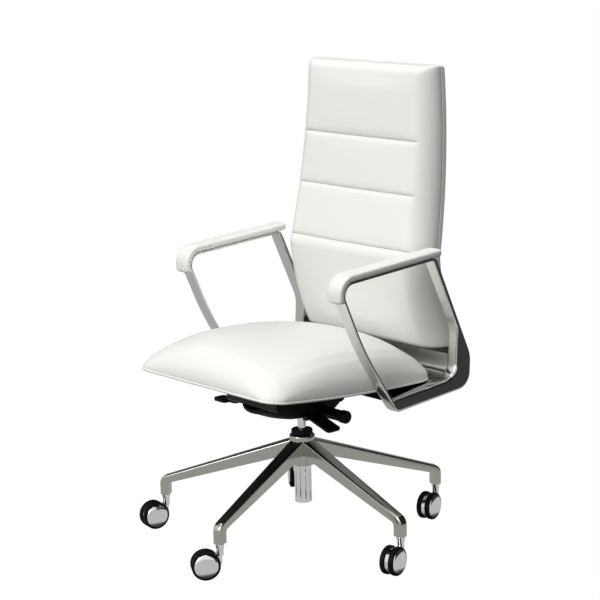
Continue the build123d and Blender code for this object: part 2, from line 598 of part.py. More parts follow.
def seat_nodes():
    """Upholstered cushion, its pan, the mechanism's top plate and the bolts."""
    steps = [(SEAT_REAR - SEAT_FRONT) * step for step in SEAT_STATIONS]
    stations = [SEAT_FRONT + step for step in steps] + [SEAT_REAR - step for step in reversed(steps[:-1])]
    cushion = loft([seat_section(y) for y in stations], ruled=True)
    pan = seat_slab(
        SEAT_FRONT + PAN_INSET, SEAT_REAR - PAN_INSET, -PAN_THICK, 0, SEAT_WIDTH / 2 - PAN_INSET)
    plate = seat_slab(PLATE_FRONT, PLATE_REAR, 0, PLATE_THICK, PLATE_HALF_WIDTH)
    lug_low = SEAT_PIVOT_H - SEAT_PIVOT_DIA
    lug = [
        (SEAT_PIVOT_Y - LUG_LENGTH / 2, seat_base(SEAT_PIVOT_Y) - PLATE_THICK / 2),
        (SEAT_PIVOT_Y - LUG_LENGTH / 2, lug_low), (SEAT_PIVOT_Y + LUG_LENGTH / 2, lug_low),
        (SEAT_PIVOT_Y + LUG_LENGTH / 2, seat_base(SEAT_PIVOT_Y) - PLATE_THICK / 2)]
    lug_x = MECH_HALF_WIDTH + ROOM
    lug_part = side_prism(lug, [0, LUG_LENGTH / 3, LUG_LENGTH / 3, 0], lug_x, lug_x + LUG_WIDTH)
    hole = rod_x(
        SEAT_PIVOT_DIA / 2 + RUNNING, -2 * lug_x, 2 * lug_x, SEAT_PIVOT_Y, MECH_Z + SEAT_PIVOT_H)
    plate = plate + lug_part + mirrored(lug_part) - hole
    bolts = Part()
    for x in (SEAT_BOLT_INSET - PLATE_HALF_WIDTH, PLATE_HALF_WIDTH - SEAT_BOLT_INSET):
        for y in (PLATE_FRONT + SEAT_BOLT_INSET, PLATE_REAR - SEAT_BOLT_INSET):
            under = MECH_Z + seat_base(y) - PLATE_THICK - SEAT_BOLT_DIA / 8
            shank = tube(SEAT_BOLT_DIA / 2, 0, under - OVERLAP, under + PLATE_THICK + PAN_THICK - OVERLAP)
            head = tube(SEAT_BOLT_HEAD / 2, 0, under - SEAT_BOLT_DIA / 2, under)
            bolts += Pos(x, y, 0) * (head + shank)
    return {
        "seat_cushion": cushion - pan, "seat_pan": pan - bolts, "seat_plate": plate - bolts,
        "seat_bolts": bolts}


def back_line(height):
    """Depth of the line where cushion and shell meet: a bend at the lumbar."""
    rise = height - LUMBAR_H
    if rise > 0:
        return LUMBAR_Y + LUMBAR_UPPER_SLOPE * rise - rise ** 2 / (2 * LUMBAR_UPPER_RADIUS)
    return LUMBAR_Y - LUMBAR_LOWER_SLOPE * rise + rise ** 2 / (2 * LUMBAR_LOWER_RADIUS)


def back_half(height):
    """Half width of the back: full below the lumbar, tapering up, rounded at the top."""
    taper = max(0, (height - LUMBAR_H) / (BACK_TOP_H - LUMBAR_H))
    half = BACK_WIDTH / 2 + (BACK_TOP_WIDTH - BACK_WIDTH) / 2 * taper
    into = min(1, (BACK_TOP_H - height) / BACK_CORNER)
    return half - BACK_CORNER * (1 - math.sqrt(1 - (1 - into) ** 2))


def back_stations():
    """Heights of the sections: each sewn panel swells between its seams."""
    edges = [BACK_FOOT_H, *BACK_SEAMS, BACK_TOP_H]
    stations = []
    for low, high in zip(edges, edges[1:]):
        for step in BACK_PANEL_STEPS:
            stations.append((low + (high - low) * step, math.sin(math.pi * step) ** BACK_SWELL_POWER))
    return stations + [(BACK_TOP_H, 0)]


def back_cushion_section(height, swell):
    """Section of the front cushion: flat rear, short sides, rolled edges, crowned front."""
    half, rear, z = back_half(height), back_line(height), MECH_Z + height
    roll = min(BACK_EDGE_ROLL, half / 4)
    thinning = max(0, (height - LUMBAR_H) / (BACK_TOP_H - LUMBAR_H))
    full = BACK_CUSHION_THICK + (BACK_TOP_THICK - BACK_CUSHION_THICK) * thinning
    thick = full - BACK_CUSHION_PUFF * (1 - swell)
    crown = BACK_CROWN * swell + BACK_CROWN_LEAST
    side, front = rear - thick + roll, rear - thick
    turn = roll * (1 - math.sqrt(0.5))
    back = Line((-half, rear, z), (half, rear, z))
    right = Line((half, rear, z), (half, side, z))
    corner_r = ThreePointArc((half, side, z), (half - turn, front + turn, z), (half - roll, front, z))
    face = ThreePointArc((half - roll, front, z), (0, front - crown, z), (roll - half, front, z))
    corner_l = ThreePointArc((roll - half, front, z), (turn - half, front + turn, z), (-half, side, z))
    left = Line((-half, side, z), (-half, rear, z))
    return make_face(back + right + corner_r + face + corner_l + left)


def back_shell_section(height):
    """Section of the rear shell, bevelled towards the back."""
    half, front, z = back_half(height), back_line(height), MECH_Z + height
    roll = min(SHELL_EDGE_ROLL, half / 8)
    return make_face(Polyline(
        (-half, front, z), (half, front, z), (half - roll, front + SHELL_THICK, z),
        (roll - half, front + SHELL_THICK, z), close=True))


def back_bolts():
    """Bolts from below through the yoke's flanges into the back's foot."""
    half = back_half(BACK_FOOT_H) - SHELL_EDGE_ROLL
    y = back_line(BACK_FOOT_H) + SHELL_THICK - BACK_BOLT_INSET / 2
    flange_low = MECH_Z + BACK_FOOT_H - FOOT_THICK - YOKE_FLANGE
    shank_top = flange_low + YOKE_FLANGE + FOOT_THICK - OVERLAP
    shank = tube(BACK_BOLT_DIA / 2, 0, flange_low - OVERLAP, shank_top)
    head = tube(BACK_BOLT_HEAD / 2, 0, flange_low - BACK_BOLT_HEAD_HEIGHT, flange_low)
    bolts = Part()
    for x in (YOKE_WEB_HALF + BACK_BOLT_INSET, half - BACK_BOLT_INSET / 2):
        for side in (-x, x):
            bolts += Pos(side, y, 0) * (head + shank)
    return bolts


def back_nodes():
    """Sewn front cushion, rear shell with its foot, and the bolts through the yoke's flanges."""
    stations = back_stations()
    cushion = loft([back_cushion_section(height, swell) for height, swell in stations], ruled=True)
    shell = loft([back_shell_section(height) for height, _ in stations], ruled=True)
    rear = back_line(BACK_FOOT_H) + SHELL_THICK
    half = back_half(BACK_FOOT_H) - SHELL_EDGE_ROLL
    foot_low, foot_high = MECH_Z + BACK_FOOT_H - FOOT_THICK, MECH_Z + BACK_FOOT_H
    shell += block((-half, rear - FOOT_DEPTH, foot_low), (half, rear, foot_high))
    return {"back_cushion": cushion, "back_shell": shell - back_bolts(), "back_bolts": back_bolts()}


def inset_corners(corners, walls):
    """Corners of an outline moved inwards, each side by its own wall."""
    sides = []
    for (y0, h0), (y1, h1), wall in zip(corners, corners[1:] + corners[:1], walls):
        length = math.hypot(y1 - y0, h1 - h0)
        along = ((y1 - y0) / length, (h1 - h0) / length)
        sides.append(((y0 - along[1] * wall, h0 + along[0] * wall), along))
    inner = []
    for (p, d), (q, e) in zip(sides[-1:] + sides[:-1], sides):
        cross = d[0] * e[1] - d[1] * e[0]
        step = ((q[0] - p[0]) * e[1] - (q[1] - p[1]) * e[0]) / cross
        inner.append((p[0] + d[0] * step, p[1] + d[1] * step))
    return inner


def loop_inner():
    """Inner corners of the arm loop, from the depth of each of its sides."""
    walls = (LOOP_BOTTOM_DEPTH, LOOP_REAR_DEPTH, LOOP_POST_DEPTH, LOOP_TOP_DEPTH, LOOP_STRUT_DEPTH,
             LOOP_STRUT_DEPTH)
    return inset_corners(list(LOOP_OUTER), walls)


def arm_frame():
    """Left arm loop: a flat polished band, deep along its foot and rear corner."""
    low, high = ARM_INNER_X, ARM_INNER_X + LOOP_WIDTH
    loop = side_prism(LOOP_OUTER, LOOP_OUTER_RADII, low, high)
    loop -= side_prism(loop_inner(), LOOP_INNER_RADII, low, high)
    rims = loop.faces().sort_by(Axis.X)[-1].edges()
    return fillet(rims, LOOP_ROUNDING)


def arm_pad():
    """Left arm pad: leather on the loop's top bar and front bend."""
    rear_top, front_top, strut = LOOP_OUTER[3:6]
    slope = (rear_top[1] - front_top[1]) / (rear_top[0] - front_top[0])
    lean = (strut[0] - front_top[0]) / (front_top[1] - strut[1])
    rear = rear_top[0] + PAD_OVERHANG
    under_rear = rear_top[1] + slope * PAD_OVERHANG
    top_front = front_top[1] + PAD_TOP_COVER + slope * (PAD_FRONT_Y - front_top[0])
    foot = front_top[1] + PAD_TOP_COVER - PAD_DROP
    foot_rear = front_top[0] + lean * (front_top[1] - foot)
    corners = [
        (PAD_FRONT_Y, foot), (foot_rear, foot), front_top, (rear, under_rear),
        (rear, under_rear + PAD_TOP_COVER), (PAD_FRONT_Y, top_front)]
    end = PAD_TOP_COVER / 3
    radii = [PAD_ROUNDING, 0, LOOP_OUTER_RADII[4], end, end, PAD_NOSE_RADIUS]
    middle = ARM_INNER_X + LOOP_WIDTH / 2
    return side_prism(corners, radii, middle - PAD_WIDTH / 2, middle + PAD_WIDTH / 2)


def back_yoke():
    """Cast cradle: plate under the seat, two uprights with flanges, a web and two axle eyes."""
    foot = BACK_FOOT_H - FOOT_THICK
    rear = loop_inner()[2][0]
    bend_h = loop_inner()[1][1]
    flange_rear = back_line(BACK_FOOT_H) + SHELL_THICK

    def plate(set_back, thick, x_low, x_high):
        outer = set_back + thick
        corners = [
            (YOKE_FRONT, YOKE_FRONT_H - set_back), (rear + set_back, bend_h - set_back),
            (rear + set_back, foot), (rear + outer, foot), (rear + outer, bend_h - outer),
            (YOKE_FRONT, YOKE_FRONT_H - outer)]
        radii = [0, YOKE_BEND + set_back, 0, 0, YOKE_BEND + outer, 0]
        return side_prism(corners, radii, x_low, x_high)

    def flange(x_low, x_high):
        return block((x_low, rear, MECH_Z + foot - YOKE_FLANGE), (x_high, flange_rear, MECH_Z + foot))

    wing = plate(0, YOKE_THICK, YOKE_WEB_HALF, ARM_INNER_X) + flange(YOKE_WEB_HALF, ARM_INNER_X)
    web = plate(YOKE_THICK - YOKE_WEB_THICK, YOKE_WEB_THICK, -YOKE_WEB_HALF, YOKE_WEB_HALF)
    yoke = web + wing + mirrored(wing)
    slot_high = MECH_Z + foot
    slot_front = YOKE_FRONT - OVERLAP
    yoke -= block((-YOKE_SLOT_HALF, slot_front, MECH_Z), (YOKE_SLOT_HALF, YOKE_SLOT_REAR, slot_high))
    axle_h, eye = MECH_Z + TILT_AXLE_H, EYE_DIA / 2
    for low, high in ((EYE_X, EYE_X + EYE_WIDTH), (-EYE_X - EYE_WIDTH, -EYE_X)):
        yoke += rod_x(eye, low, high, TILT_AXLE_Y, axle_h)
        arm = [
            (TILT_AXLE_Y, TILT_AXLE_H - eye / 2), (YOKE_SLOT_REAR, YOKE_FRONT_H - YOKE_THICK),
            (YOKE_SLOT_REAR, YOKE_FRONT_H - OVERLAP), (TILT_AXLE_Y, TILT_AXLE_H + eye - OVERLAP)]
        yoke += side_prism(arm, [0] * len(arm), low, high)
    yoke -= rod_x(TILT_AXLE_DIA / 2 + RUNNING, -2 * EYE_X, 2 * EYE_X, TILT_AXLE_Y, axle_h)
    return yoke


def arm_studs():
    """Hidden studs that join the left loop to the edge of the yoke."""
    studs = Part()
    middle, half = ARM_INNER_X, ARM_STUD_LENGTH / 2
    rear, bend_h = loop_inner()[2][0], loop_inner()[1][1]
    slope = (bend_h - YOKE_FRONT_H) / (rear - YOKE_FRONT)
    for y in ARM_STUD_YS:
        height = MECH_Z + YOKE_FRONT_H + slope * (y - YOKE_FRONT) - YOKE_THICK / 2
        studs += rod_x(ARM_STUD_DIA / 2, middle - half, middle + half, y, height)
    return studs


def arm_nodes():
    """Yoke, both loops and pads, and the studs between them."""
    studs, pad = arm_studs(), arm_pad()
    frame = arm_frame() - studs
    both = studs + mirrored(studs)
    return {
        "back_yoke": back_yoke() - both - back_bolts(), "arm_studs": both, "arm_frame_left": frame,
        "arm_frame_right": mirrored(frame), "arm_pad_left": pad, "arm_pad_right": mirrored(pad)}


def main():
    os.makedirs("parts", exist_ok=True)
    groups = (castor_nodes, base_nodes, column_nodes, mechanism_nodes, seat_nodes, back_nodes, arm_nodes)
    for group in groups:
        for name, part in group().items():
            export_step(part, f"parts/{name}.step")


main()
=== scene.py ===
import math

import bmesh
import bpy
import numpy as np
from mathutils import Matrix, Vector


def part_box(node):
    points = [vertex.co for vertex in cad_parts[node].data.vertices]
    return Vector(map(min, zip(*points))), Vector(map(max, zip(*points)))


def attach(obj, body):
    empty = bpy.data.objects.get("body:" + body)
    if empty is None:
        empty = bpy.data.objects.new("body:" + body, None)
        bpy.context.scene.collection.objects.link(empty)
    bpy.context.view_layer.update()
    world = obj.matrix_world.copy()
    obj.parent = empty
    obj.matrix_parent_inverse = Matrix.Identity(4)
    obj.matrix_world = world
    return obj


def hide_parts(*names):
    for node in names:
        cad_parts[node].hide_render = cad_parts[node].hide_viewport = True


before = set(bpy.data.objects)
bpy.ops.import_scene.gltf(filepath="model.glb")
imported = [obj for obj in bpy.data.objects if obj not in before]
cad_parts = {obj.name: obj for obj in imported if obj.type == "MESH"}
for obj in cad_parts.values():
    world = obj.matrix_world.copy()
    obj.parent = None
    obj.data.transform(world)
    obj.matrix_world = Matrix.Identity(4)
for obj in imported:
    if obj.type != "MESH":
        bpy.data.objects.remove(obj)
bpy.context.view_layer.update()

bl_info = {
    "name": "Swivel office chair",
    "version": (1, 0, 0),
    "blender": (4, 5, 0),
    "location": "View3D > Sidebar > Chair",
    "description": "Dresses the frame of a swivel office chair in leather, polished metal and plastic",
    "category": "Object",
}

# Places of the frame, in metres
MECH_Z = 0.281
SEAT_FRONT_Z = MECH_Z + 0.134
SEAT_REAR_Z = MECH_Z + 0.111
SEAT_SKIRT_FRONT_Z = MECH_Z + 0.131
SEAT_SKIRT_REAR_Z = MECH_Z + 0.100
SEAT_SKIRT_HANG = 0.008
SEAT_FRONT_Y = -0.294
SEAT_REAR_Y = 0.198
SEAT_MIDDLE_Y = (SEAT_FRONT_Y + SEAT_REAR_Y) / 2
SEAT_HALF_LENGTH = (SEAT_REAR_Y - SEAT_FRONT_Y) / 2
SEAT_HALF_WIDTH = 0.2455
BACK_FOOT_Z = MECH_Z + 0.162
BACK_TOP_Z = MECH_Z + 0.808
LUMBAR_Z = MECH_Z + 0.374
LUMBAR_Y = 0.214
BACK_SEAM_Z = (MECH_Z + 0.394, MECH_Z + 0.518, MECH_Z + 0.639)
BACK_HALF = 0.231
BACK_TOP_HALF = 0.210
LOOP_CORNERS = (
    (0.039, 0.0565), (0.272, 0.076), (0.276, 0.145), (0.165, 0.3917), (-0.1323, 0.3712), (-0.063, 0.213))
LOOP_WALLS = (0.033, 0.049, 0.0115, 0.006, 0.0065, 0.0065)
LOOP_OUTER_RADII = (0.020, 0.038, 0.060, 0.016, 0.030, 0.730)
LOOP_INNER_RADII = (0.008, 0.040, 0.080, 0.006, 0.024, 0.730)
LOOP_MIDDLE_X = 0.265
LOOP_HALF_WIDTH = 0.017
CASE_FLOOR = ((-0.150, 0.058), (-0.062, 0.028), (0.014, 0.028), (0.046, 0.050))
BELLY_KEEL = (
    (-0.150, 0.0435), (-0.117, 0.0280), (-0.087, 0.0185), (-0.052, 0.0120), (-0.014, 0.0090), (0.024, 0.0090),
    (0.046, 0.0450))
BELLY_FRONT_Y = -0.1495
CASTORS = range(1, 6)
SIDES = (("left", 1), ("right", -1))

# Leather shapes: lengths in metres, powers of curves and counts of points
SEAT_SIDE_POWER = 2.2
SEAT_SKIRT_POWER = 6
SEAT_THINNING_POWER = 3
SEAT_VOXEL = 0.0055
SEAT_HELD_BAND = 0.008
DUST_COVER_BAND = 0.0012
WELT_INSET = 0.002
WELT_RISE = 0.0025
BACK_UPPER_SLOPE, BACK_UPPER_BEND = 0.21, -0.27
BACK_LOWER_SLOPE, BACK_LOWER_BEND = -0.08, 0.9
BACK_TOP_CORNER = 0.005
BACK_FOOT_CORNER = 0.008
BACK_CALM_REACH = 0.06
BACK_SIDE_BAND = 0.006
BACK_HELD_DEPTH = 0.03
BACK_HELD_END = 0.004
BACK_TOP_RIM = 0.020
BACK_FOOT_RIM = 0.012
BACK_REAR_RADIUS = 0.002
SEAM_HELD_BAND = 0.014
SEAM_FADE_REACH = 0.03
SEAM_FIRST_DEPTH = 0.02
SEAM_DEPTH_REACH = 0.012
SHELL_RIM = 0.010
SHELL_BULGE = 0.003
ZIP_INSET = 0.002
ZIP_HALF = 0.002
ZIP_SIDE_INSET = 0.0014
ZIP_EDGE = 0.0008
THREAD_POINTS = 90
THREAD_RISE = 0.0002
PAD_COVER = 0.0175
PAD_OVERHANG = 0.018
PAD_FRONT_Y = -0.133
PAD_FRONT_DROP = 0.0425
PAD_OUTER_RADIUS = 0.043
PAD_INNER_RADIUS = 0.030
PAD_REAR_ROUND = 0.012
PAD_FRONT_ROUND = 0.008

# Cloth simulation
CLOTH_FRAMES = 20
CLOTH_CALMING_ROUNDS = 60
CLOTH_LIMIT = 0.003

# Castor wheels and caps, in metres
FORK_EDGE = 0.001
WHEEL_HALF = 0.00625
WHEEL_RADIUS = 0.0325
WHEEL_EDGE = 0.0035
WHEEL_BORE = 0.0042
TREAD_GROOVE = 0.0004
RECESS_RADIUS = 0.0271
RECESS_DEPTH = 0.0024
CAP_RADIUS = 0.0268
CAP_DEPTH = 0.0022
DOME_RADIUS = 0.0262
DOME_RISE = 0.0048

# Shape of the belly cover
BELLY_POWER = 2.4
BELLY_NOSE = 0.09
BELLY_OVERLAP = 0.002
BELLY_LEAST_DROP = 0.0015
BELLY_LID_DEPTH = 0.6

# Edges of metal and plastic: those over an angle are rounded or stay crisp
EASED_DEGREES = 32
EASED_SEGMENTS = 3
CRISP_DEGREES = 40
MERGE_DISTANCE = 0.00001

# Lower and higher tones of the inner parts and the sewing
STEEL_TONES = ((0.50, 0.50, 0.49, 1.0), (0.60, 0.60, 0.58, 1.0))
RUBBER_TONES = ((0.016, 0.016, 0.016, 1.0), (0.03, 0.03, 0.028, 1.0))
PLYWOOD_TONES = ((0.42, 0.27, 0.14, 1.0), (0.62, 0.45, 0.27, 1.0))
# Zip tones: dark partly as painted shade of the groove between cushion and shell
ZIP_AND_GROOVE_SHADE_TONES = ((0.03, 0.03, 0.028, 1.0), (0.09, 0.09, 0.085, 1.0))
# Thread tones: dark partly as painted shade at the bottom of the seams
THREAD_AND_SEAM_SHADE_TONES = ((0.06, 0.06, 0.056, 1.0), (0.11, 0.11, 0.10, 1.0))

# Directions from the chair, for the light and what the metal mirrors
BESIDE_LOOPS = (0.755, 0.656, 0.0)
BEHIND_CHAIR = (-0.755, 0.656, 0.0)
FRONT_LEFT = (-0.35, -0.93, 0.0)
FRONT_RIGHT = (0.35, -0.93, 0.0)
RIGHT_SIDE = (0.94, -0.34, 0.0)

# Lamps, floor and lens: lengths in metres, the sensor's width in millimetres
KEY_LAMP = (0.3, -3.8, 2.7)
TOP_LAMP = (-0.3, -0.4, 3.4)
REAR_LAMP = (-0.9, 3.6, 2.4)
LAMP_AIM = (0, 0, 0.5)
FLOOR_REACH = 60
FLOOR_Z = -0.0002
FLOOR_GLOW = 1.11
# Inner and outer radius of the painted shadow round each castor in the floor's reflections
PAINTED_SHADOW_INNER, PAINTED_SHADOW_OUTER = 0.03, 0.055
SENSOR_WIDTH = 36
VIEW_END = 200


def a_length(name, description, default):
    """A property that is a length in metres."""
    return bpy.props.FloatProperty(name=name, description=description, default=default, unit="LENGTH")


def a_colour(name, description, default):
    """A property that is a colour."""
    return bpy.props.FloatVectorProperty(
        name=name, description=description, default=default, subtype="COLOR", size=3, min=0, max=1)


def a_number(name, description, default, **more):
    """A property that is any other number, with its limits or its subtype."""
    return bpy.props.FloatProperty(name=name, description=description, default=default, **more)


class UpholsterySizes(bpy.types.PropertyGroup):
    """Sizes and colours of the leather pieces."""

    leather_colour: a_colour("Leather colour", "Colour of the white leather", (0.88, 0.885, 0.85))
    grain: a_length("Grain", "Width of one pebble of the leather's grain", 0.0013)
    seat_crown: a_length("Seat crown", "Rise of the seat's middle above its rounded sides", 0.035)
    seat_side: a_length("Seat side", "Height of the seat's rounded sides", 0.062)
    seat_roll: a_length("Seat roll", "How far in the seat's sides round over", 0.058)
    seat_corner: a_length("Seat corner", "Radius of the seat's corners from above", 0.046)
    seat_bow: a_number(
        "Seat bow", "How far the seat's edges bow out between the corners", 0.004, min=0, max=0.1)
    seat_thinning: a_number(
        "Seat thinning", "Share of its height that the seat's side loses towards the corners",
        1.0, min=0, max=1)
    welt: a_length("Welt", "Radius of the piping round the seat's lower edge", 0.003)
    back_thickness: a_length("Back thickness", "Thickness of the back's cushion at the waist", 0.066)
    back_top_thickness: a_length("Back top thickness", "Thickness of the back's cushion at its top", 0.048)
    back_roll: a_length("Back roll", "How far in the back cushion's front edges round over", 0.045)
    back_roll_power: a_number(
        "Back roll power", "Power of the superellipse of the back cushion's front edges",
        1.75, min=1.2, max=4)
    back_crown: a_length("Back crown", "Rise of the back cushion's middle", 0.005)
    seam_depth: a_length("Seam depth", "Depth of the back's sewn seams", 0.009)
    seam_roll: a_length("Seam roll", "Half width of the roll beside a sewn seam", 0.014)
    seam_stop: a_length("Seam stop", "Distance from the back's sides at which a seam fades out", 0.028)
    thread: a_length("Thread", "Radius of the thread at the bottom of a seam", 0.0009)
    shell_thickness: a_length("Shell thickness", "Thickness of the back's rear shell", 0.016)
    pad_width: a_length("Pad width", "Width of an arm pad", 0.045)
    pad_edge: a_number("Pad edge", "How square an arm pad's section is", 4.0, min=2, max=12)


class MetalSizes(bpy.types.PropertyGroup):
    """Sizes and colours of the metal pieces."""

    polished_colour: a_colour("Polished colour", "Colour of the polished arm loops", (0.66, 0.66, 0.64))
    satin_colour: a_colour("Satin colour", "Colour of the star base's metal", (0.50, 0.50, 0.455))
    chrome_colour: a_colour("Chrome colour", "Colour of the chromed castors and tubes", (0.86, 0.86, 0.84))
    loop_section: a_number("Loop section", "How square an arm loop's section is", 5.0, min=2, max=12)
    edge: a_length("Edge", "Width of the softened edges of cast metal", 0.0015)


class PlasticSizes(bpy.types.PropertyGroup):
    """Sizes and colours of the black pieces."""

    plastic_colour: a_colour("Plastic colour", "Colour of the moulded plastic", (0.005, 0.005, 0.005))
    coat_colour: a_colour("Coat colour", "Colour of the painted mechanism", (0.005, 0.005, 0.005))
    belly_half_width: a_length("Belly half width", "Half the width of the belly under the mechanism", 0.056)
    wheel_colour: a_colour("Wheel colour", "Colour of the castor wheels", (0.005, 0.005, 0.005))
    edge: a_length("Edge", "Width of the softened edges of moulded pieces", 0.0012)


class StageSizes(bpy.types.PropertyGroup):
    """Camera, floor and light."""

    camera_place: bpy.props.FloatVectorProperty(
        name="Camera place", description="Where the camera stands", subtype="XYZ", unit="LENGTH", size=3,
        default=(3.2796, -2.8509, 1.4743))
    camera_heading: a_number(
        "Camera heading", "Turn of the camera from looking along Y", 0.854575, subtype="ANGLE")
    camera_pitch: a_number("Camera pitch", "How far the camera looks down", 0.2070605, subtype="ANGLE")
    camera_roll: a_number("Camera roll", "Tilt of the camera", 0.0238525, subtype="ANGLE")
    focal_length: a_number("Focal length", "Focal length on a 36 mm sensor, in millimetres", 116.238)
    floor_colour: a_colour("Floor colour", "Colour of the floor", (0.82, 0.82, 0.82))
    key_power: a_number("Key power", "Power of the large soft lamp in front", 111, subtype="POWER")
    top_power: a_number("Top power", "Power of the soft lamp overhead", 33, subtype="POWER")
    rear_power: a_number("Rear power", "Power of the soft lamp behind", 60, subtype="POWER")
    sky: a_number("Sky", "Even light from all sides", 0.26, min=0, max=2)


class Tone:
    """A shader socket that stands in a sum: every operator adds one Math node."""

    def __init__(self, paint, socket):
        self.paint = paint
        self.socket = socket

    def math(self, operation, first, second=0.0):
        """One Math node."""
        return self.paint.add("ShaderNodeMath", {"operation": operation}, {0: first, 1: second})

    def __add__(self, other):
        return self.math("ADD", self, other)

    def __radd__(self, other):
        return self.math("ADD", other, self)

    def __sub__(self, other):
        return self.math("SUBTRACT", self, other)

    def __rsub__(self, other):
        return self.math("SUBTRACT", other, self)

    def __mul__(self, other):
        return self.math("MULTIPLY", self, other)

    def __rmul__(self, other):
        return self.math("MULTIPLY", other, self)

    def most(self, other):
        """The larger of two values."""
        return self.math("MAXIMUM", self, other)

    def fitted(self, low, high, start=0.0, end=1.0):
        """The value carried from low..high to start..end along a smooth step."""
        return self.paint.add(
            "ShaderNodeMapRange", {"interpolation_type": "SMOOTHSTEP"},
            {"Value": self, "From Min": low, "From Max": high, "To Min": start, "To Max": end})


class Paint:
    """The node tree of one material or of the world."""

    def __init__(self, tree):
        self.tree = tree
        tree.nodes.clear()

    def add(self, kind, settings=None, sockets=None, out=0):
        """Any node: its settings first, then the values or links of its sockets."""
        node = self.tree.nodes.new(kind)
        for name, value in (settings or {}).items():
            setattr(node, name, value)
        for place, value in (sockets or {}).items():
            if isinstance(value, Tone):
                self.tree.links.new(value.socket, node.inputs[place])
            else:
                node.inputs[place].default_value = value
        return Tone(self, node.outputs[out])

    def place(self):
        """Object coordinates."""
        return self.add("ShaderNodeTexCoord", out="Object")

    def noise(self, scale, detail=2.0, roughness=0.5, where=None):
        """Noise of that scale per metre."""
        sockets = {"Vector": where or self.place(), "Scale": scale, "Detail": detail, "Roughness": roughness}
        return self.add("ShaderNodeTexNoise", None, sockets, "Fac")

    def stretched(self, scale):
        """Object coordinates drawn out along each axis."""
        return self.add("ShaderNodeMapping", None, {"Vector": self.place(), "Scale": scale})

    def stripes(self, direction, scale, distortion=0.0):
        """Fine stripes along a direction."""
        sockets = {"Vector": self.place(), "Scale": scale, "Distortion": distortion}
        return self.add("ShaderNodeTexWave", {"bands_direction": direction}, sockets, "Fac")

    def mixed(self, factor, first, second):
        """A colour between two colours."""
        return self.add("ShaderNodeMix", {"data_type": "RGBA"}, {0: factor, 6: first, 7: second}, 2)

    def toned(self, factor, base, low, high=1.0):
        """A colour between a lower and a higher tone of one colour."""
        return self.mixed(factor, colour(base, low), colour(base, high))

    def bump(self, height, distance, strength):
        """A bumped normal."""
        sockets = {"Height": height, "Distance": distance, "Strength": strength}
        return self.add("ShaderNodeBump", None, sockets)

    def surface(self, **sockets):
        """The Principled surface and the output."""
        named = {}
        for name, value in sockets.items():
            named[name.replace("_", " ").title().replace("Ior", "IOR")] = value
        shader = self.add("ShaderNodeBsdfPrincipled", None, named)
        self.add_output("ShaderNodeOutputMaterial", shader)

    def add_output(self, kind, shader):
        """The tree's output."""
        node = self.tree.nodes.new(kind)
        self.tree.links.new(shader.socket, node.inputs["Surface"])


def colour(values, times=1.0):
    """A colour with its alpha, made lighter or darker."""
    return (*(min(1.0, value * times) for value in values), 1.0)


def finish(name, recipe):
    """The finish of that name, made by its recipe the first time.

    The suffix tells it from the frame's own plain materials.
    """
    known = bpy.data.materials.get(f"{name}_finish")
    if known:
        return known
    made = bpy.data.materials.new(f"{name}_finish")
    made.use_nodes = True
    recipe(Paint(made.node_tree))
    return made


def leather_recipe(paint):
    """White leather: pebbles of a Voronoi pattern with darker creases, and slow changes of tone and gloss.

    Where a piece has a dust cover it is black.
    """
    sizes = bpy.context.scene.chair_upholstery
    pebbles = paint.add(
        "ShaderNodeTexVoronoi", {"feature": "DISTANCE_TO_EDGE"},
        {"Vector": paint.place(), "Scale": 1.0 / sizes.grain, "Randomness": 0.9}, "Distance")
    grain = pebbles.fitted(0.0, 0.22)
    tone = paint.noise(9.0, 3.0)
    fine = paint.noise(240.0, 2.0)
    shade = paint.toned(grain, sizes.leather_colour, 0.955)
    shade = paint.mixed(tone.fitted(0.3, 0.75), colour(sizes.leather_colour, 0.975), shade)
    relief = grain + 0.35 * fine
    below = paint.add("ShaderNodeAttribute", {"attribute_name": "dust_cover"}, out="Fac")
    shade = paint.mixed(below, shade, colour(bpy.context.scene.chair_plastic.coat_colour))
    paint.surface(
        base_color=shade, roughness=0.40 + 0.12 * tone - 0.05 * grain, specular_ior_level=0.42,
        normal=paint.bump(relief, 0.00012, 0.55))


def polished_recipe(paint):
    """Polished cast metal: faint waves left by the buffing wheel and hair lines along it."""
    sizes = bpy.context.scene.chair_metal
    waves = paint.noise(26.0, 1.0)
    hair = paint.noise(1.0, 3.0, where=paint.stretched((2200.0, 60.0, 60.0)))
    shade = paint.toned(hair, sizes.polished_colour, 0.96)
    paint.surface(
        base_color=shade, metallic=1.0, roughness=0.09 + 0.04 * hair,
        normal=paint.bump(waves, 0.0008, 0.4))


def cradle_recipe(paint):
    """Polished cast metal whose two front arms, ahead of the plate, are painted black."""
    sizes = bpy.context.scene.chair_metal
    ahead = paint.add("ShaderNodeSeparateXYZ", None, {0: paint.place()}, "Y").fitted(0.119, 0.121, 1.0, 0.0)
    waves = paint.noise(26.0, 1.0)
    shade = paint.mixed(
        ahead, colour(sizes.polished_colour, 0.75), colour(bpy.context.scene.chair_plastic.coat_colour))
    paint.surface(
        base_color=shade, metallic=1.0 - ahead, roughness=0.12 + 0.24 * ahead, specular_ior_level=0.25,
        normal=paint.bump(waves, 0.0008, 0.5))


def satin_recipe(paint):
    """Satin cast metal of the star base: softer gloss with a fine bead-blasted relief."""
    sizes = bpy.context.scene.chair_metal
    slow = paint.noise(14.0, 2.0)
    fine = paint.noise(700.0, 2.0)
    shade = paint.toned(slow, sizes.satin_colour, 0.95, 1.03)
    paint.surface(
        base_color=shade, metallic=1.0, roughness=0.12 + 0.05 * slow,
        normal=paint.bump(fine, 0.00001, 0.05))


def chrome_recipe(paint):
    """Chrome: a clear mirror with the faintest haze."""
    sizes = bpy.context.scene.chair_metal
    haze = paint.noise(60.0, 3.0)
    shade = paint.toned(haze, sizes.chrome_colour, 0.97)
    paint.surface(base_color=shade, metallic=1.0, roughness=0.04 + 0.04 * haze)


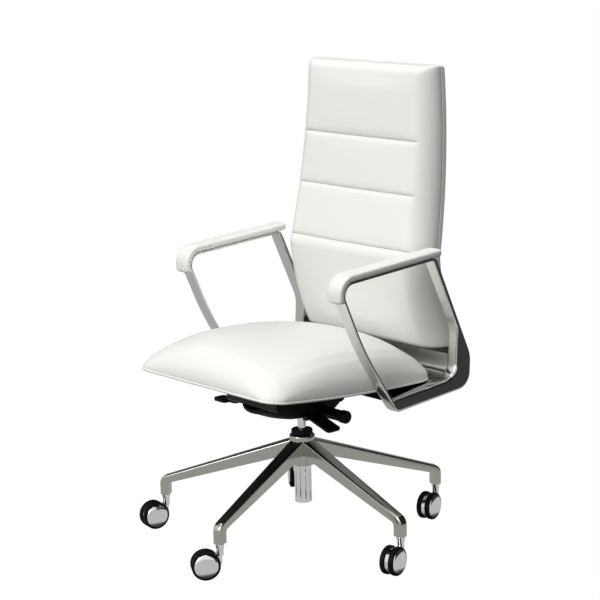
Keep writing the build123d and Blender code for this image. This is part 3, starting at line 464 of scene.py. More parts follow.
def plastic_recipe(paint):
    """Black moulded plastic with a fine spark-eroded texture."""
    sizes = bpy.context.scene.chair_plastic
    spark = paint.noise(1700.0, 2.0)
    slow = paint.noise(30.0, 2.0)
    shade = paint.toned(slow, sizes.plastic_colour, 0.8, 1.4)
    paint.surface(
        base_color=shade, roughness=0.42 + 0.12 * slow, specular_ior_level=0.12,
        normal=paint.bump(spark, 0.0001, 0.5))


def coat_recipe(paint):
    """Black powder coat: an orange-peel relief under a low gloss."""
    sizes = bpy.context.scene.chair_plastic
    peel = paint.noise(650.0, 1.0)
    slow = paint.noise(22.0, 2.0)
    shade = paint.toned(slow, sizes.coat_colour, 0.7, 1.5)
    paint.surface(
        base_color=shade, roughness=0.33 + 0.1 * slow, specular_ior_level=0.25,
        normal=paint.bump(peel, 0.00012, 0.45))


def wheel_recipe(paint):
    """Glossy black nylon of the wheels, scuffed dull along the tread in patches."""
    sizes = bpy.context.scene.chair_plastic
    scuff = paint.noise(420.0, 4.0, 0.7).fitted(0.55, 0.75)
    shade = paint.toned(scuff, sizes.wheel_colour, 1.0, 2.6)
    paint.surface(base_color=shade, roughness=0.42 + 0.2 * scuff, specular_ior_level=0.08)


def steel_recipe(paint):
    """Turned steel with fine tool lines round Z."""
    rings = paint.stripes("Z", 900.0, 0.6)
    shade = paint.mixed(rings, *STEEL_TONES)
    paint.surface(base_color=shade, metallic=1.0, roughness=0.24 + 0.1 * rings)


def rubber_recipe(paint):
    """Dull dark rubber."""
    grain = paint.noise(900.0, 3.0)
    shade = paint.mixed(grain, *RUBBER_TONES)
    paint.surface(base_color=shade, roughness=0.75, normal=paint.bump(grain, 0.0001, 0.5))


def plywood_recipe(paint):
    """Birch plywood with long grain along Y."""
    grain = paint.noise(1.0, 4.0, where=paint.stretched((260.0, 14.0, 700.0)))
    shade = paint.mixed(grain, *PLYWOOD_TONES)
    paint.surface(base_color=shade, roughness=0.6, normal=paint.bump(grain, 0.0001, 0.3))


def zip_and_groove_shade_recipe(paint):
    """Dark woven tape of the hidden zip between cushion and shell; its darkness is partly painted shade of
    the groove there.
    """
    weave = paint.stripes("Z", 420.0)
    shade = paint.mixed(weave, *ZIP_AND_GROOVE_SHADE_TONES)
    paint.surface(base_color=shade, roughness=0.8, normal=paint.bump(weave, 0.0003, 0.6))


def thread_and_seam_shade_recipe(paint):
    """Dark grey twisted thread of the seams; its darkness is partly painted shade of the seam's groove."""
    twist = paint.stripes("X", 300.0)
    shade = paint.mixed(twist, *THREAD_AND_SEAM_SHADE_TONES)
    paint.surface(base_color=shade, roughness=0.8)


# Recipe of every finish
FINISHES = {
    "white_leather": leather_recipe, "polished_aluminium": polished_recipe, "cradle_metal": cradle_recipe,
    "satin_aluminium": satin_recipe, "chrome": chrome_recipe, "black_plastic": plastic_recipe,
    "black_metal": coat_recipe, "wheel_black": wheel_recipe, "steel": steel_recipe,
    "spring_rubber": rubber_recipe, "plywood": plywood_recipe, "zip_tape_and_groove_shade": zip_and_groove_shade_recipe,
    "seam_thread_and_shade": thread_and_seam_shade_recipe}


def grid_faces(rows, columns, round_rows, round_columns):
    """Corner numbers of the quads of a grid, which may close on itself either way."""
    row_count = rows if round_rows else rows - 1
    column_count = columns if round_columns else columns - 1
    row, column = np.meshgrid(np.arange(row_count), np.arange(column_count), indexing="ij")
    next_row, next_column = (row + 1) % rows, (column + 1) % columns
    corners = (row * columns + column, next_row * columns + column,
               next_row * columns + next_column, row * columns + next_column)
    return np.stack(corners, axis=-1).reshape(-1, 4)


def linked(name, data):
    """A new object in the scene."""
    made = bpy.data.objects.new(name, data)
    bpy.context.scene.collection.objects.link(made)
    return made


def vertices_of(piece):
    """A piece's points as an array."""
    points = np.empty(3 * len(piece.data.vertices))
    piece.data.vertices.foreach_get("co", points)
    return points.reshape(-1, 3)


def move_vertices(piece, points):
    """Puts an array of points back into a piece."""
    piece.data.vertices.foreach_set("co", points.ravel())
    piece.data.update()


def grid_piece(name, points, round_rows=False, round_columns=True):
    """A piece from one grid of points: doubles merged, open ends closed, faces outwards, shaded smooth."""
    faces = grid_faces(*points.shape[:2], round_rows, round_columns)
    mesh = bpy.data.meshes.new(name)
    mesh.from_pydata(points.reshape(-1, 3).tolist(), [], faces.tolist())
    work = bmesh.new()
    work.from_mesh(mesh)
    bmesh.ops.remove_doubles(work, verts=work.verts, dist=2e-6)
    bmesh.ops.dissolve_degenerate(work, edges=work.edges, dist=1e-7)
    bmesh.ops.holes_fill(work, edges=work.edges, sides=0)
    bmesh.ops.recalc_face_normals(work, faces=work.faces)
    work.to_mesh(mesh)
    work.free()
    mesh.shade_smooth()
    return linked(name, mesh)


def dress(piece, body, look, *nodes):
    """Gives a piece its finish and its body, and hides the frame nodes it stands for."""
    piece.data.materials.clear()
    piece.data.materials.append(finish(look, FINISHES[look]))
    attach(piece, body)
    if nodes:
        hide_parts(*nodes)


def paint_node(node, look):
    """Gives a frame node its finish."""
    material = finish(look, FINISHES[look])
    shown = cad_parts[node]
    if not shown.material_slots:
        shown.data.materials.append(material)
    for place in shown.material_slots:
        place.material = material


def middle_of(node):
    """Middle of a node's box."""
    low, high = (np.array(corner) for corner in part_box(node))
    return (low + high) / 2


def set_sharp(piece, degrees):
    """Keeps edges over that angle crisp."""
    piece.data.set_sharp_from_angle(angle=math.radians(degrees))


def eased_copy(node, name, width):
    """A merged copy of a frame node whose edges over an angle are rounded to a width."""
    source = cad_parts[node]
    faces = np.empty(3 * len(source.data.polygons), dtype=int)
    source.data.polygons.foreach_get("vertices", faces)
    mesh = bpy.data.meshes.new(name)
    mesh.from_pydata(vertices_of(source).tolist(), [], faces.reshape(-1, 3).tolist())
    work = bmesh.new()
    work.from_mesh(mesh)
    bmesh.ops.remove_doubles(work, verts=work.verts, dist=MERGE_DISTANCE)
    bmesh.ops.dissolve_limit(
        work, angle_limit=math.radians(1.0), verts=work.verts, edges=work.edges, delimit={"NORMAL"})
    work.to_mesh(mesh)
    work.free()
    mesh.shade_smooth()
    piece = linked(name, mesh)
    set_sharp(piece, EASED_DEGREES)
    bevel = piece.modifiers.new("Eased edges", "BEVEL")
    bevel.width = width
    bevel.segments = EASED_SEGMENTS
    bevel.limit_method = "ANGLE"
    bevel.angle_limit = math.radians(EASED_DEGREES)
    bevel.use_clamp_overlap = True
    bevel.harden_normals = True
    weld = piece.modifiers.new("Merged slivers", "WELD")
    weld.merge_threshold = MERGE_DISTANCE
    return piece


def baked(piece):
    """Replaces a piece's mesh by what its modifiers make of it."""
    shown = piece.evaluated_get(bpy.context.evaluated_depsgraph_get())
    mesh = bpy.data.meshes.new_from_object(shown)
    piece.modifiers.clear()
    old, piece.data = piece.data, mesh
    bpy.data.meshes.remove(old)
    mesh.shade_smooth()
    return piece


def calmed(piece, values, rounds):
    """Values of a piece's points, averaged with those of their neighbours over and over."""
    ends = np.empty(2 * len(piece.data.edges), dtype=int)
    piece.data.edges.foreach_get("vertices", ends)
    first, second = ends.reshape(-1, 2).T
    near = np.bincount(ends, minlength=len(values))[:, None]
    for _ in range(rounds):
        total = np.zeros_like(values)
        np.add.at(total, first, values[second])
        np.add.at(total, second, values[first])
        values = 0.5 * values + 0.5 * total / np.maximum(near, 1)
    return values


def inflate(piece, pressure, held, share=1.0):
    """Swells a piece by a cloth simulation.

    Held points stay, every point keeps a share of its move and none moves further than the limit.
    """
    scene = bpy.context.scene
    start = vertices_of(piece)
    group = piece.vertex_groups.new(name="held")
    group.add(np.flatnonzero(held).tolist(), 1.0, "REPLACE")
    cloth = piece.modifiers.new("Stuffing", "CLOTH")
    cloth.settings.quality = 6
    cloth.settings.mass = 0.3
    cloth.settings.tension_stiffness = 25
    cloth.settings.compression_stiffness = 25
    cloth.settings.shear_stiffness = 10
    cloth.settings.bending_stiffness = 2
    cloth.settings.use_pressure = True
    cloth.settings.uniform_pressure_force = pressure
    cloth.settings.effector_weights.gravity = 0
    cloth.settings.vertex_group_mass = group.name
    cloth.point_cache.frame_start = 1
    cloth.point_cache.frame_end = CLOTH_FRAMES
    for number in range(1, CLOTH_FRAMES + 1):
        scene.frame_set(number)
    baked(piece)
    piece.vertex_groups.clear()
    move = (vertices_of(piece) - start) * np.reshape(share, (-1, 1))
    length = np.linalg.norm(move, axis=1, keepdims=True)
    move *= np.minimum(1.0, CLOTH_LIMIT / np.maximum(length, 1e-9))
    move = calmed(piece, move, CLOTH_CALMING_ROUNDS)
    move_vertices(piece, start + move * ~held[:, None])
    scene.frame_set(1)


def subdivide(piece):
    """Applies a subdivision surface."""
    smooth = piece.modifiers.new("Smooth", "SUBSURF")
    smooth.levels = 1
    smooth.render_levels = 1
    baked(piece)


def remeshed(piece, size):
    """Applies a voxel remesh."""
    voxels = piece.modifiers.new("Voxels", "REMESH")
    voxels.mode = "VOXEL"
    voxels.voxel_size = size
    return baked(piece)


def unit(value):
    """A value held between 0 and 1."""
    return np.clip(value, 0, 1)


def full_turn(count):
    """Angles spread evenly over a circle."""
    return np.linspace(0, 2 * np.pi, count, endpoint=False)


def rounded(value, power):
    """Signed power: the coordinate of a superellipse from a sine or cosine."""
    return np.sign(value) * np.abs(value) ** (2.0 / power)


def fillet_arc(before, corner, after, radius, count):
    """Points of the arc of that radius that rounds a corner between two straight runs."""
    corner = np.asarray(corner, dtype=float)
    back = np.asarray(before) - corner
    on = np.asarray(after) - corner
    back, on = back / np.linalg.norm(back), on / np.linalg.norm(on)
    half = math.acos(np.clip(back @ on, -1, 1)) / 2
    reach = radius / math.tan(half)
    middle = corner + (back + on) / np.linalg.norm(back + on) * radius / math.sin(half)
    start, end = corner + back * reach - middle, corner + on * reach - middle
    first = math.atan2(start[1], start[0])
    turn = (math.atan2(end[1], end[0]) - first + math.pi) % (2 * math.pi) - math.pi
    angle = first + turn * np.linspace(0, 1, count)
    return middle + radius * np.stack((np.cos(angle), np.sin(angle)), axis=1)


def rounded_outline(corners, radii, arc_count, run_count):
    """Closed outline: an arc at every corner and evenly spaced points along the straight run after it."""
    corners = np.asarray(corners, dtype=float)
    around = zip(np.roll(corners, 1, axis=0), corners, np.roll(corners, -1, axis=0), radii)
    arcs = [fillet_arc(*corner, arc_count) for corner in around]
    steps = (np.arange(run_count) + 1)[:, None] / (run_count + 1)
    runs = [arc[-1] + steps * (after[0] - arc[-1]) for arc, after in zip(arcs, arcs[1:] + arcs[:1])]
    return np.concatenate([part for pair in zip(arcs, runs) for part in pair])


def inset_corners(corners, walls):
    """Corners of the line that runs inside a closed outline, a wall's thickness from every side."""
    corners = np.asarray(corners, dtype=float)
    along = np.roll(corners, -1, axis=0) - corners
    along /= np.linalg.norm(along, axis=1, keepdims=True)
    inward = np.stack((-along[:, 1], along[:, 0]), axis=1)
    base = corners + inward * np.asarray(walls)[:, None]
    base_before, along_before = np.roll(base, 1, axis=0), np.roll(along, 1, axis=0)
    gap = base - base_before
    cross = along_before[:, 0] * along[:, 1] - along_before[:, 1] * along[:, 0]
    reach = (gap[:, 0] * along[:, 1] - gap[:, 1] * along[:, 0]) / cross
    return base_before + along_before * reach[:, None]


def band(outer, inner, middle_x, half_width, power, count, shrink=None):
    """A band between two matching lines in the side view.

    The section at each point is a superellipse: its one axis runs from the inner to the outer line and its
    other is the half width along X. shrink narrows each section, for rounded ends.
    """
    angle = full_turn(count)
    shrink = np.ones(len(outer)) if shrink is None else shrink
    middle, half = (outer + inner) / 2, (outer - inner) / 2 * shrink[:, None]
    side = middle[:, None, :] + half[:, None, :] * rounded(np.cos(angle), power)[None, :, None]
    x = middle_x + half_width * shrink[:, None] * rounded(np.sin(angle), power)[None, :]
    return np.dstack((x, side[..., 0], side[..., 1] + MECH_Z))


def lathe(profile, centre, axis, count):
    """A profile of radius and distance along an axis, carried round that axis at a centre."""
    axis = np.asarray(axis, dtype=float)
    axis /= np.linalg.norm(axis)
    helper = np.array((0.0, 0.0, 1.0)) if abs(axis[2]) < 0.9 else np.array((1.0, 0.0, 0.0))
    first = np.cross(helper, axis)
    first /= np.linalg.norm(first)
    second = np.cross(axis, first)
    angle = full_turn(count)
    ring = np.cos(angle)[:, None] * first + np.sin(angle)[:, None] * second
    profile = np.asarray(profile, dtype=float)
    return (np.asarray(centre) + profile[:, 0, None, None] * ring[None]
            + profile[:, 1, None, None] * axis[None, None])


def profile_line(*parts):
    """One profile from points and arrays of points."""
    return np.concatenate([np.atleast_2d(part) for part in parts])


def quarter(centre, radius, start, end, count=6):
    """Arc of a profile between two angles in degrees."""
    angle = np.radians(np.linspace(start, end, count))
    return np.asarray(centre) + radius * np.stack((np.cos(angle), np.sin(angle)), axis=1)


def tube_round(path, outward, radius, count):
    """A round tube along a path. Its section lies in Z and the outward direction at each point."""
    angle = full_turn(count)[:, None]
    radius = np.reshape(radius, (-1, 1, 1))
    up = np.array((0.0, 0.0, 1.0))
    return path[:, None, :] + radius * np.cos(angle) * outward[:, None, :] + radius * np.sin(angle) * up


def seat_base(y, front=SEAT_FRONT_Z, rear=SEAT_REAR_Z):
    """Height from which the seat's sides round over, a straight line from front to rear."""
    return front + (rear - front) * (y - SEAT_FRONT_Y) / (SEAT_REAR_Y - SEAT_FRONT_Y)


def seat_skirt(place):
    """Height of the seat's underside: a steeper line that hangs lower along the sides by a parabola."""
    along = np.clip((place[..., 1] - SEAT_MIDDLE_Y) / SEAT_HALF_LENGTH, -1, 1)
    hang = SEAT_SKIRT_HANG * (1 - along ** 2) * (np.abs(place[..., 0]) / SEAT_HALF_WIDTH) ** SEAT_SKIRT_POWER
    return seat_base(place[..., 1], SEAT_SKIRT_FRONT_Z, SEAT_SKIRT_REAR_Z) - hang


def seat_edge(corner, inset=0.0):
    """Plan of the seat's edge about its middle: a rectangle with rounded corners."""
    half_width, half_length = SEAT_HALF_WIDTH - inset, SEAT_HALF_LENGTH - inset
    corners = ((-half_width, -half_length), (half_width, -half_length), (half_width, half_length),
               (-half_width, half_length))
    return rounded_outline(corners, (corner - inset,) * 4, 24, 40)


def seat_bowed(plan, bow):
    """The plan with its sides bowed out: each half shrinks by a share of the other's square."""
    x, y = plan[..., 0], plan[..., 1]
    return np.stack((x * (1 - bow * (y / SEAT_HALF_LENGTH) ** 2),
                     SEAT_MIDDLE_Y + y * (1 - bow * (x / SEAT_HALF_WIDTH) ** 2)), axis=-1)


class CHAIR_OT_seat_cushion(bpy.types.Operator):
    """Crowned seat cushion with a piped lower edge"""

    bl_idname = "chair.seat_cushion"
    bl_label = "Seat cushion"

    def execute(self, context):
        sizes = context.scene.chair_upholstery
        edge = seat_edge(sizes.seat_corner)
        share = np.concatenate((np.linspace(0, 0.9, 10), 1 - np.linspace(0.29, 0, 40) ** 1.8))
        plan = share[:, None, None] * edge[None]
        plan = np.concatenate((plan, plan[::-1]))
        place = seat_bowed(plan, sizes.seat_bow)
        height = seat_base(place[..., 1]) + self.height(plan, sizes)
        height[:len(share)] = seat_skirt(place[:len(share)])
        points = np.dstack((place, height))
        piece = remeshed(grid_piece("seat_leather", points), SEAT_VOXEL)
        points = vertices_of(piece)
        inflate(piece, 4.0, points[:, 2] < seat_skirt(points) + SEAT_HELD_BAND)
        subdivide(piece)
        self.mark_dust_cover(piece)
        dress(piece, "seat", "white_leather", "seat_cushion")
        self.add_welt(sizes)
        return {"FINISHED"}

    def height(self, plan, sizes):
        """Height over the seat's base: a rounded side that ends in a crown.

        With d the distance from the edge and p the power, the side is a superellipse, which is
        side * (1 - (1 - d / roll) ** p) ** (1 / p), and lower towards the corners by a power of x y.
        The crown is the product of two parabolas.
        """
        inner = np.array((SEAT_HALF_WIDTH, SEAT_HALF_LENGTH)) - sizes.seat_corner
        past = np.abs(plan) - inner
        outside = np.linalg.norm(np.maximum(past, 0), axis=-1)
        inset = sizes.seat_corner - outside - np.minimum(past.max(axis=-1), 0)
        left = unit(1 - inset / sizes.seat_roll)
        side = (1 - left ** SEAT_SIDE_POWER) ** (1 / SEAT_SIDE_POWER)
        across, along = plan[..., 0] / SEAT_HALF_WIDTH, plan[..., 1] / SEAT_HALF_LENGTH
        thinned = 1 - sizes.seat_thinning * np.abs(across * along) ** SEAT_THINNING_POWER
        crown = (1 - across ** 2) * (1 - along ** 2)
        return sizes.seat_side * side * thinned + sizes.seat_crown * np.maximum(crown, 0)

    def mark_dust_cover(self, piece):
        """Marks the seat's flat underside, which has a black dust cover."""
        points = vertices_of(piece)
        below = (points[:, 2] < seat_skirt(points) + DUST_COVER_BAND).astype(float)
        mark = piece.data.attributes.new("dust_cover", "FLOAT", "POINT")
        mark.data.foreach_set("value", below)

    def add_welt(self, sizes):
        """Piping: a round tube along the plan's edge."""
        place = seat_bowed(seat_edge(sizes.seat_corner, WELT_INSET), sizes.seat_bow)
        path = np.column_stack((place, seat_skirt(place) + WELT_RISE))
        along = np.roll(path, -1, axis=0) - np.roll(path, 1, axis=0)
        outward = np.stack((along[:, 1], -along[:, 0], np.zeros(len(along))), axis=1)
        outward /= np.maximum(np.linalg.norm(outward, axis=1, keepdims=True), 1e-9)
        welt = grid_piece("seat_welt", tube_round(path, outward, sizes.welt, 12), round_rows=True)
        dress(welt, "seat", "white_leather")


def back_line(z):
    """The back's rear line: two parabolas that meet at the waist."""
    rise = z - LUMBAR_Z
    upper = LUMBAR_Y + BACK_UPPER_SLOPE * rise + BACK_UPPER_BEND * rise ** 2
    lower = LUMBAR_Y + BACK_LOWER_SLOPE * rise + BACK_LOWER_BEND * rise ** 2
    return np.where(rise > 0, upper, lower)


def tapered(z, below, top):
    """A measure of the back that is even up to the waist and then goes straight to its value at the top."""
    return below + (top - below) * unit((z - LUMBAR_Z) / (BACK_TOP_Z - LUMBAR_Z))


def back_half(z):
    """Half the back's width."""
    return tapered(z, BACK_HALF, BACK_TOP_HALF)


def back_outline(z, inset=0.0):
    """Half the back's width with its corners rounded at the top and the foot."""
    corners = rounding(BACK_TOP_Z - z, BACK_TOP_CORNER) + rounding(z - BACK_FOOT_Z, BACK_FOOT_CORNER)
    return back_half(z) - inset - corners


def from_seam(z):
    """Distance from the nearest seam."""
    return np.min(np.abs(z[:, None] - np.asarray(BACK_SEAM_Z)), axis=1)


def sections_piece(name, x, y, z):
    """A piece from closed sections, one at each height."""
    return grid_piece(name, np.dstack((x, y, np.broadcast_to(z[:, None], x.shape))))


def box_sections(half, front, rear, front_radii, rear_radius, counts):
    """Rounded rectangles, one for each row: four arcs with straight runs between them.

    The front arcs are quarter superellipses with a radius across, one in depth and a power. counts gives the
    points of an arc, of the front run, of a side run and of the rear run. Returns their x and their y.
    """
    arc, across, side, behind = counts
    sweep = np.linspace(0, np.pi / 2, arc)
    reach, depth, power = front_radii

    def corner(x, y, width, length, start, power=2.0):
        return np.stack((x[:, None] + width[:, None] * rounded(np.cos(start + sweep), power),
                         y[:, None] + length[:, None] * rounded(np.sin(start + sweep), power)), axis=-1)

    def run(first, last, count):
        step = ((np.arange(count) + 1) / (count + 1))[None, :, None]
        return first[:, -1:, :] + step * (last[:, :1, :] - first[:, -1:, :])

    corners = (corner(-half + reach, front + depth, reach, depth, np.pi, power),
               corner(half - reach, front + depth, reach, depth, 1.5 * np.pi, power),
               corner(half - rear_radius, rear - rear_radius, rear_radius, rear_radius, 0.0),
               corner(-half + rear_radius, rear - rear_radius, rear_radius, rear_radius, 0.5 * np.pi))
    runs = [run(corners[index], corners[(index + 1) % 4], count)
            for index, count in enumerate((across, side, behind, side))]
    section = np.concatenate([part for pair in zip(corners, runs) for part in pair], axis=1)
    return section[..., 0], section[..., 1]


def rounding(distance, radius):
    """How far an edge rounded to a radius falls back at a distance from the end."""
    left = unit(1 - distance / radius)
    return radius * (1 - np.sqrt(1 - left ** 2))


class CHAIR_OT_back_cushion(bpy.types.Operator):
    """Back: front cushion in sewn panels, rear shell and the zip between them"""

    bl_idname = "chair.back_cushion"
    bl_label = "Back cushion and shell"

    def execute(self, context):
        sizes = context.scene.chair_upholstery
        self.add_cushion(sizes)
        self.add_threads(sizes)
        self.add_shell(sizes)
        self.add_zip()
        return {"FINISHED"}

    def rows(self, step, beside_seams=()):
        """Heights of the rows: an even run, denser towards both ends and beside the seams."""
        ends = np.array((0.0, 0.0004, 0.0011, 0.0022, 0.0038, 0.006, 0.009, 0.0125, 0.0165, 0.021))
        middle = np.arange(BACK_FOOT_Z + 0.026, BACK_TOP_Z - 0.0255, step)
        seams = np.asarray(BACK_SEAM_Z)
        if len(beside_seams):
            clear = from_seam(middle) > max(beside_seams) + step / 2
            middle = np.concatenate((middle[clear], (seams[:, None] + np.asarray(beside_seams)).ravel()))
        return np.sort(np.concatenate((BACK_FOOT_Z + ends, middle, BACK_TOP_Z - ends)))

    def thickness(self, z, sizes):
        """Thickness of the cushion."""
        return tapered(z, sizes.back_thickness, sizes.back_top_thickness)

    def seam_fall(self, z, sizes):
        """Fall of the front at a seam: a quarter-round roll on each side, 1 - sqrt(1 - s ** 2)."""
        share = unit(1 - from_seam(z) / sizes.seam_roll)
        return sizes.seam_depth * (1 - np.sqrt(1 - share ** 2))

    def seam_fade(self, x, z, sizes):
        """A seam's share of its depth: none at its stop, all of it a little further in."""
        inner = unit((back_half(z) - np.abs(x) - sizes.seam_stop) / SEAM_FADE_REACH)
        return np.sqrt(inner) * (inner > 0)

    def crown(self, x, z, sizes):
        """Rise of the cushion's middle, calmed towards both ends."""
        calm = unit(np.minimum(BACK_TOP_Z - z, z - BACK_FOOT_Z) / BACK_CALM_REACH)
        return sizes.back_crown * (1 - (x / back_half(z)) ** 2) * calm ** 2 * (3 - 2 * calm)

    def add_cushion(self, sizes):
        """Cushion: sections with soft front edges, swollen by the cloth, then pressed in at the seams."""
        beside = np.array((0.0004, 0.0010, 0.0019, 0.0031, 0.0047, 0.0068, 0.0095, 0.0128))
        z = self.rows(0.0045, np.concatenate((-beside, (0.0,), beside)))
        top, foot = BACK_TOP_Z - z, z - BACK_FOOT_Z
        rear = back_line(z)
        front = rear - self.thickness(z, sizes) + rounding(top, BACK_TOP_RIM) + rounding(foot, BACK_FOOT_RIM)
        depth = np.maximum(rear - front - BACK_SIDE_BAND, 0.6 * (rear - front))
        roll = (np.full_like(z, sizes.back_roll), depth, sizes.back_roll_power)
        behind = np.full_like(z, BACK_REAR_RADIUS)
        x, y = box_sections(back_outline(z), front, rear, roll, behind, (18, 54, 3, 24))
        ahead = unit((rear[:, None] - y) / (rear - front)[:, None])
        height = np.broadcast_to(z[:, None], x.shape)
        y = y - self.crown(x, height, sizes) * ahead ** 2
        piece = sections_piece("back_leather", x, y, z)
        x, y, z = vertices_of(piece).T
        from_end = np.minimum(BACK_TOP_Z - z, z - BACK_FOOT_Z)
        from_side = back_half(z) - np.abs(x)
        ahead = back_line(z) - y
        share = unit(from_end / BACK_CALM_REACH) ** 2 * unit(from_side / BACK_CALM_REACH) ** 2
        share = share * (ahead > BACK_HELD_DEPTH)
        held = (ahead < BACK_HELD_DEPTH) | (from_end < BACK_HELD_END) | (from_seam(z) < SEAM_HELD_BAND)
        inflate(piece, 3.0, held, share)
        subdivide(piece)
        points = vertices_of(piece)
        fade = self.seam_fade(points[:, 0], points[:, 2], sizes)
        forward = unit((back_line(points[:, 2]) - points[:, 1] - SEAM_FIRST_DEPTH) / SEAM_DEPTH_REACH)
        points[:, 1] += self.seam_fall(points[:, 2], sizes) * fade * forward
        move_vertices(piece, points)
        dress(piece, "back", "white_leather", "back_cushion")

    def add_threads(self, sizes):
        """Threads: thin round tubes at the bottom of the seams, tapered at both ends."""
        for number, level in enumerate(BACK_SEAM_Z, 1):
            z = np.full(THREAD_POINTS, level)
            half = back_half(z)
            along = np.linspace(-1, 1, THREAD_POINTS)
            x = along * (half - sizes.seam_stop - 0.0005)
            rolled = unit((np.abs(x) - half + sizes.back_roll) / sizes.back_roll)
            thick = self.thickness(z, sizes)
            power = sizes.back_roll_power
            fallen = 1 - (1 - rolled ** power) ** (1 / power)
            y = back_line(z) - thick + (thick - BACK_SIDE_BAND) * fallen - self.crown(x, z, sizes)
            y = y + sizes.seam_depth * self.seam_fade(x, z, sizes) - THREAD_RISE
            radius = sizes.thread * np.sqrt(1 - along ** 20)
            path = np.column_stack((x, y, z))
            outward = np.broadcast_to(np.array((0.0, 1.0, 0.0)), path.shape)
            thread = grid_piece(f"back_thread_{number}", tube_round(path, outward, radius, 10))
            # Its dark finish is partly painted shade at the bottom of the seam
            dress(thread, "back", "seam_thread_and_shade")

    def add_shell(self, sizes):
        """Rear shell: rounded sections behind the back's line, with softly rounded rims."""
        z = self.rows(0.006)
        top, foot = BACK_TOP_Z - z, z - BACK_FOOT_Z
        front = back_line(z) + 0.0004
        half = back_outline(z)
        rear = front + sizes.shell_thickness - rounding(top, SHELL_RIM) - rounding(foot, SHELL_RIM)
        thick = rear - front
        lip = np.minimum(0.003, 0.3 * thick)
        rim = np.minimum(0.006, 0.6 * thick)
        x, y = box_sections(half, front, rear, (lip, lip, 2.0), rim, (7, 20, 3, 40))
        depth = unit((y - front[:, None]) / thick[:, None])
        y = y + SHELL_BULGE * (1 - (x / half[:, None]) ** 2) * depth ** 2
        piece = sections_piece("back_shell_leather", x, y, z)
        dress(piece, "back", "white_leather", "back_shell")

    def add_zip(self):
        """Zip: a dark band just inside the groove between cushion and shell, its darkness partly painted
        shade of that groove.
        """
        z = self.rows(0.010)
        middle = back_line(z) + 0.0002
        lip = np.full_like(z, ZIP_EDGE)
        half = back_outline(z, ZIP_SIDE_INSET)
        x, y = box_sections(half, middle - ZIP_HALF, middle + ZIP_HALF, (lip, lip, 2.0), lip, (4, 12, 2, 12))
        height = np.interp(z, (BACK_FOOT_Z, BACK_TOP_Z), (BACK_FOOT_Z + ZIP_INSET, BACK_TOP_Z - ZIP_INSET))
        piece = sections_piece("back_zip", x, y, height)
        dress(piece, "back", "zip_tape_and_groove_shade")


class CHAIR_OT_arm_pads(bpy.types.Operator):
    """Leather pads over the arm loops' top bars and front bends"""

    bl_idname = "chair.arm_pads"
    bl_label = "Arm pads"

    def execute(self, context):
        sizes = context.scene.chair_upholstery
        rear_top, front_top, strut = (np.array(corner) for corner in LOOP_CORNERS[3:6])
        slope = (rear_top[1] - front_top[1]) / (rear_top[0] - front_top[0])
        lean = (strut[0] - front_top[0]) / (front_top[1] - strut[1])
        foot = front_top[1] - PAD_FRONT_DROP
        rear, under = rear_top[0] + PAD_OVERHANG, rear_top[1] + slope * PAD_OVERHANG
        bend = front_top[1] + PAD_COVER + slope * (PAD_FRONT_Y - front_top[0])
        outer_line = ((rear, under + PAD_COVER), (PAD_FRONT_Y, bend), (PAD_FRONT_Y, foot))
        inner_line = ((rear, under), front_top, (front_top[0] + lean * (front_top[1] - foot), foot))
        outer = self.open_line(outer_line, PAD_OUTER_RADIUS)
        inner = self.open_line(inner_line, PAD_INNER_RADIUS)
        length = np.concatenate(((0,), np.cumsum(np.linalg.norm(np.diff(outer, axis=0), axis=1))))
        shrink = np.sqrt(1 - unit(1 - length / PAD_REAR_ROUND) ** 2)
        shrink *= np.sqrt(1 - unit(1 - (length[-1] - length) / PAD_FRONT_ROUND) ** 2)
        for side, sign in SIDES:
            middle_x = sign * LOOP_MIDDLE_X
            points = band(outer, inner, middle_x, sizes.pad_width / 2, sizes.pad_edge, 48, shrink)
            piece = grid_piece(f"arm_pad_leather_{side}", points)
            dress(piece, "back", "white_leather", f"arm_pad_{side}")
        return {"FINISHED"}

    def open_line(self, line, radius):
        """Straight run, arc and straight run, with the points closer together at both ends."""
        start, bend, end = (np.asarray(point) for point in line)
        arc = fillet_arc(start, bend, end, radius, 16)
        ease = (1 - np.cos(np.linspace(0, np.pi, 40)))[:, None] / 2
        first = start + ease * (arc[0] - start)
        last = arc[-1] + ease[::2] * (end - arc[-1])
        return np.concatenate((first[:-1], arc, last[1:], end[None]))


class CHAIR_OT_arm_loops(bpy.types.Operator):
    """Polished arm loops"""

    bl_idname = "chair.arm_loops"
    bl_label = "Arm loops"

    def execute(self, context):
        sizes = context.scene.chair_metal
        outer = rounded_outline(LOOP_CORNERS, LOOP_OUTER_RADII, 16, 22)
        inner = rounded_outline(inset_corners(LOOP_CORNERS, LOOP_WALLS), LOOP_INNER_RADII, 16, 22)
        for side, sign in SIDES:
            points = band(outer, inner, sign * LOOP_MIDDLE_X, LOOP_HALF_WIDTH, sizes.loop_section, 40)
            piece = grid_piece(f"arm_loop_{side}", points, round_rows=True)
            dress(piece, "back", "polished_aluminium", f"arm_frame_{side}")
        return {"FINISHED"}


class CHAIR_OT_cradle(bpy.types.Operator):
    """Polished cradle that joins the loops, the back and the mechanism"""

    bl_idname = "chair.cradle"
    bl_label = "Cradle"

    def execute(self, context):
        piece = eased_copy("back_yoke", "cradle", context.scene.chair_metal.edge)
        dress(piece, "back", "cradle_metal", "back_yoke")
        return {"FINISHED"}


class CHAIR_OT_star_base(bpy.types.Operator):
    """Star base, column tube and the collar on top"""

    bl_idname = "chair.star_base"
    bl_label = "Star base and column"

    def execute(self, context):
        piece = eased_copy("star_base", "star_base_metal", context.scene.chair_metal.edge)
        dress(piece, "base", "satin_aluminium", "star_base")
        collar = eased_copy("guide_bush", "column_collar", context.scene.chair_plastic.edge)
        dress(collar, "base", "black_plastic", "guide_bush")
        paint_node("column_tube", "chrome")
        paint_node("gas_cylinder", "chrome")
        return {"FINISHED"}


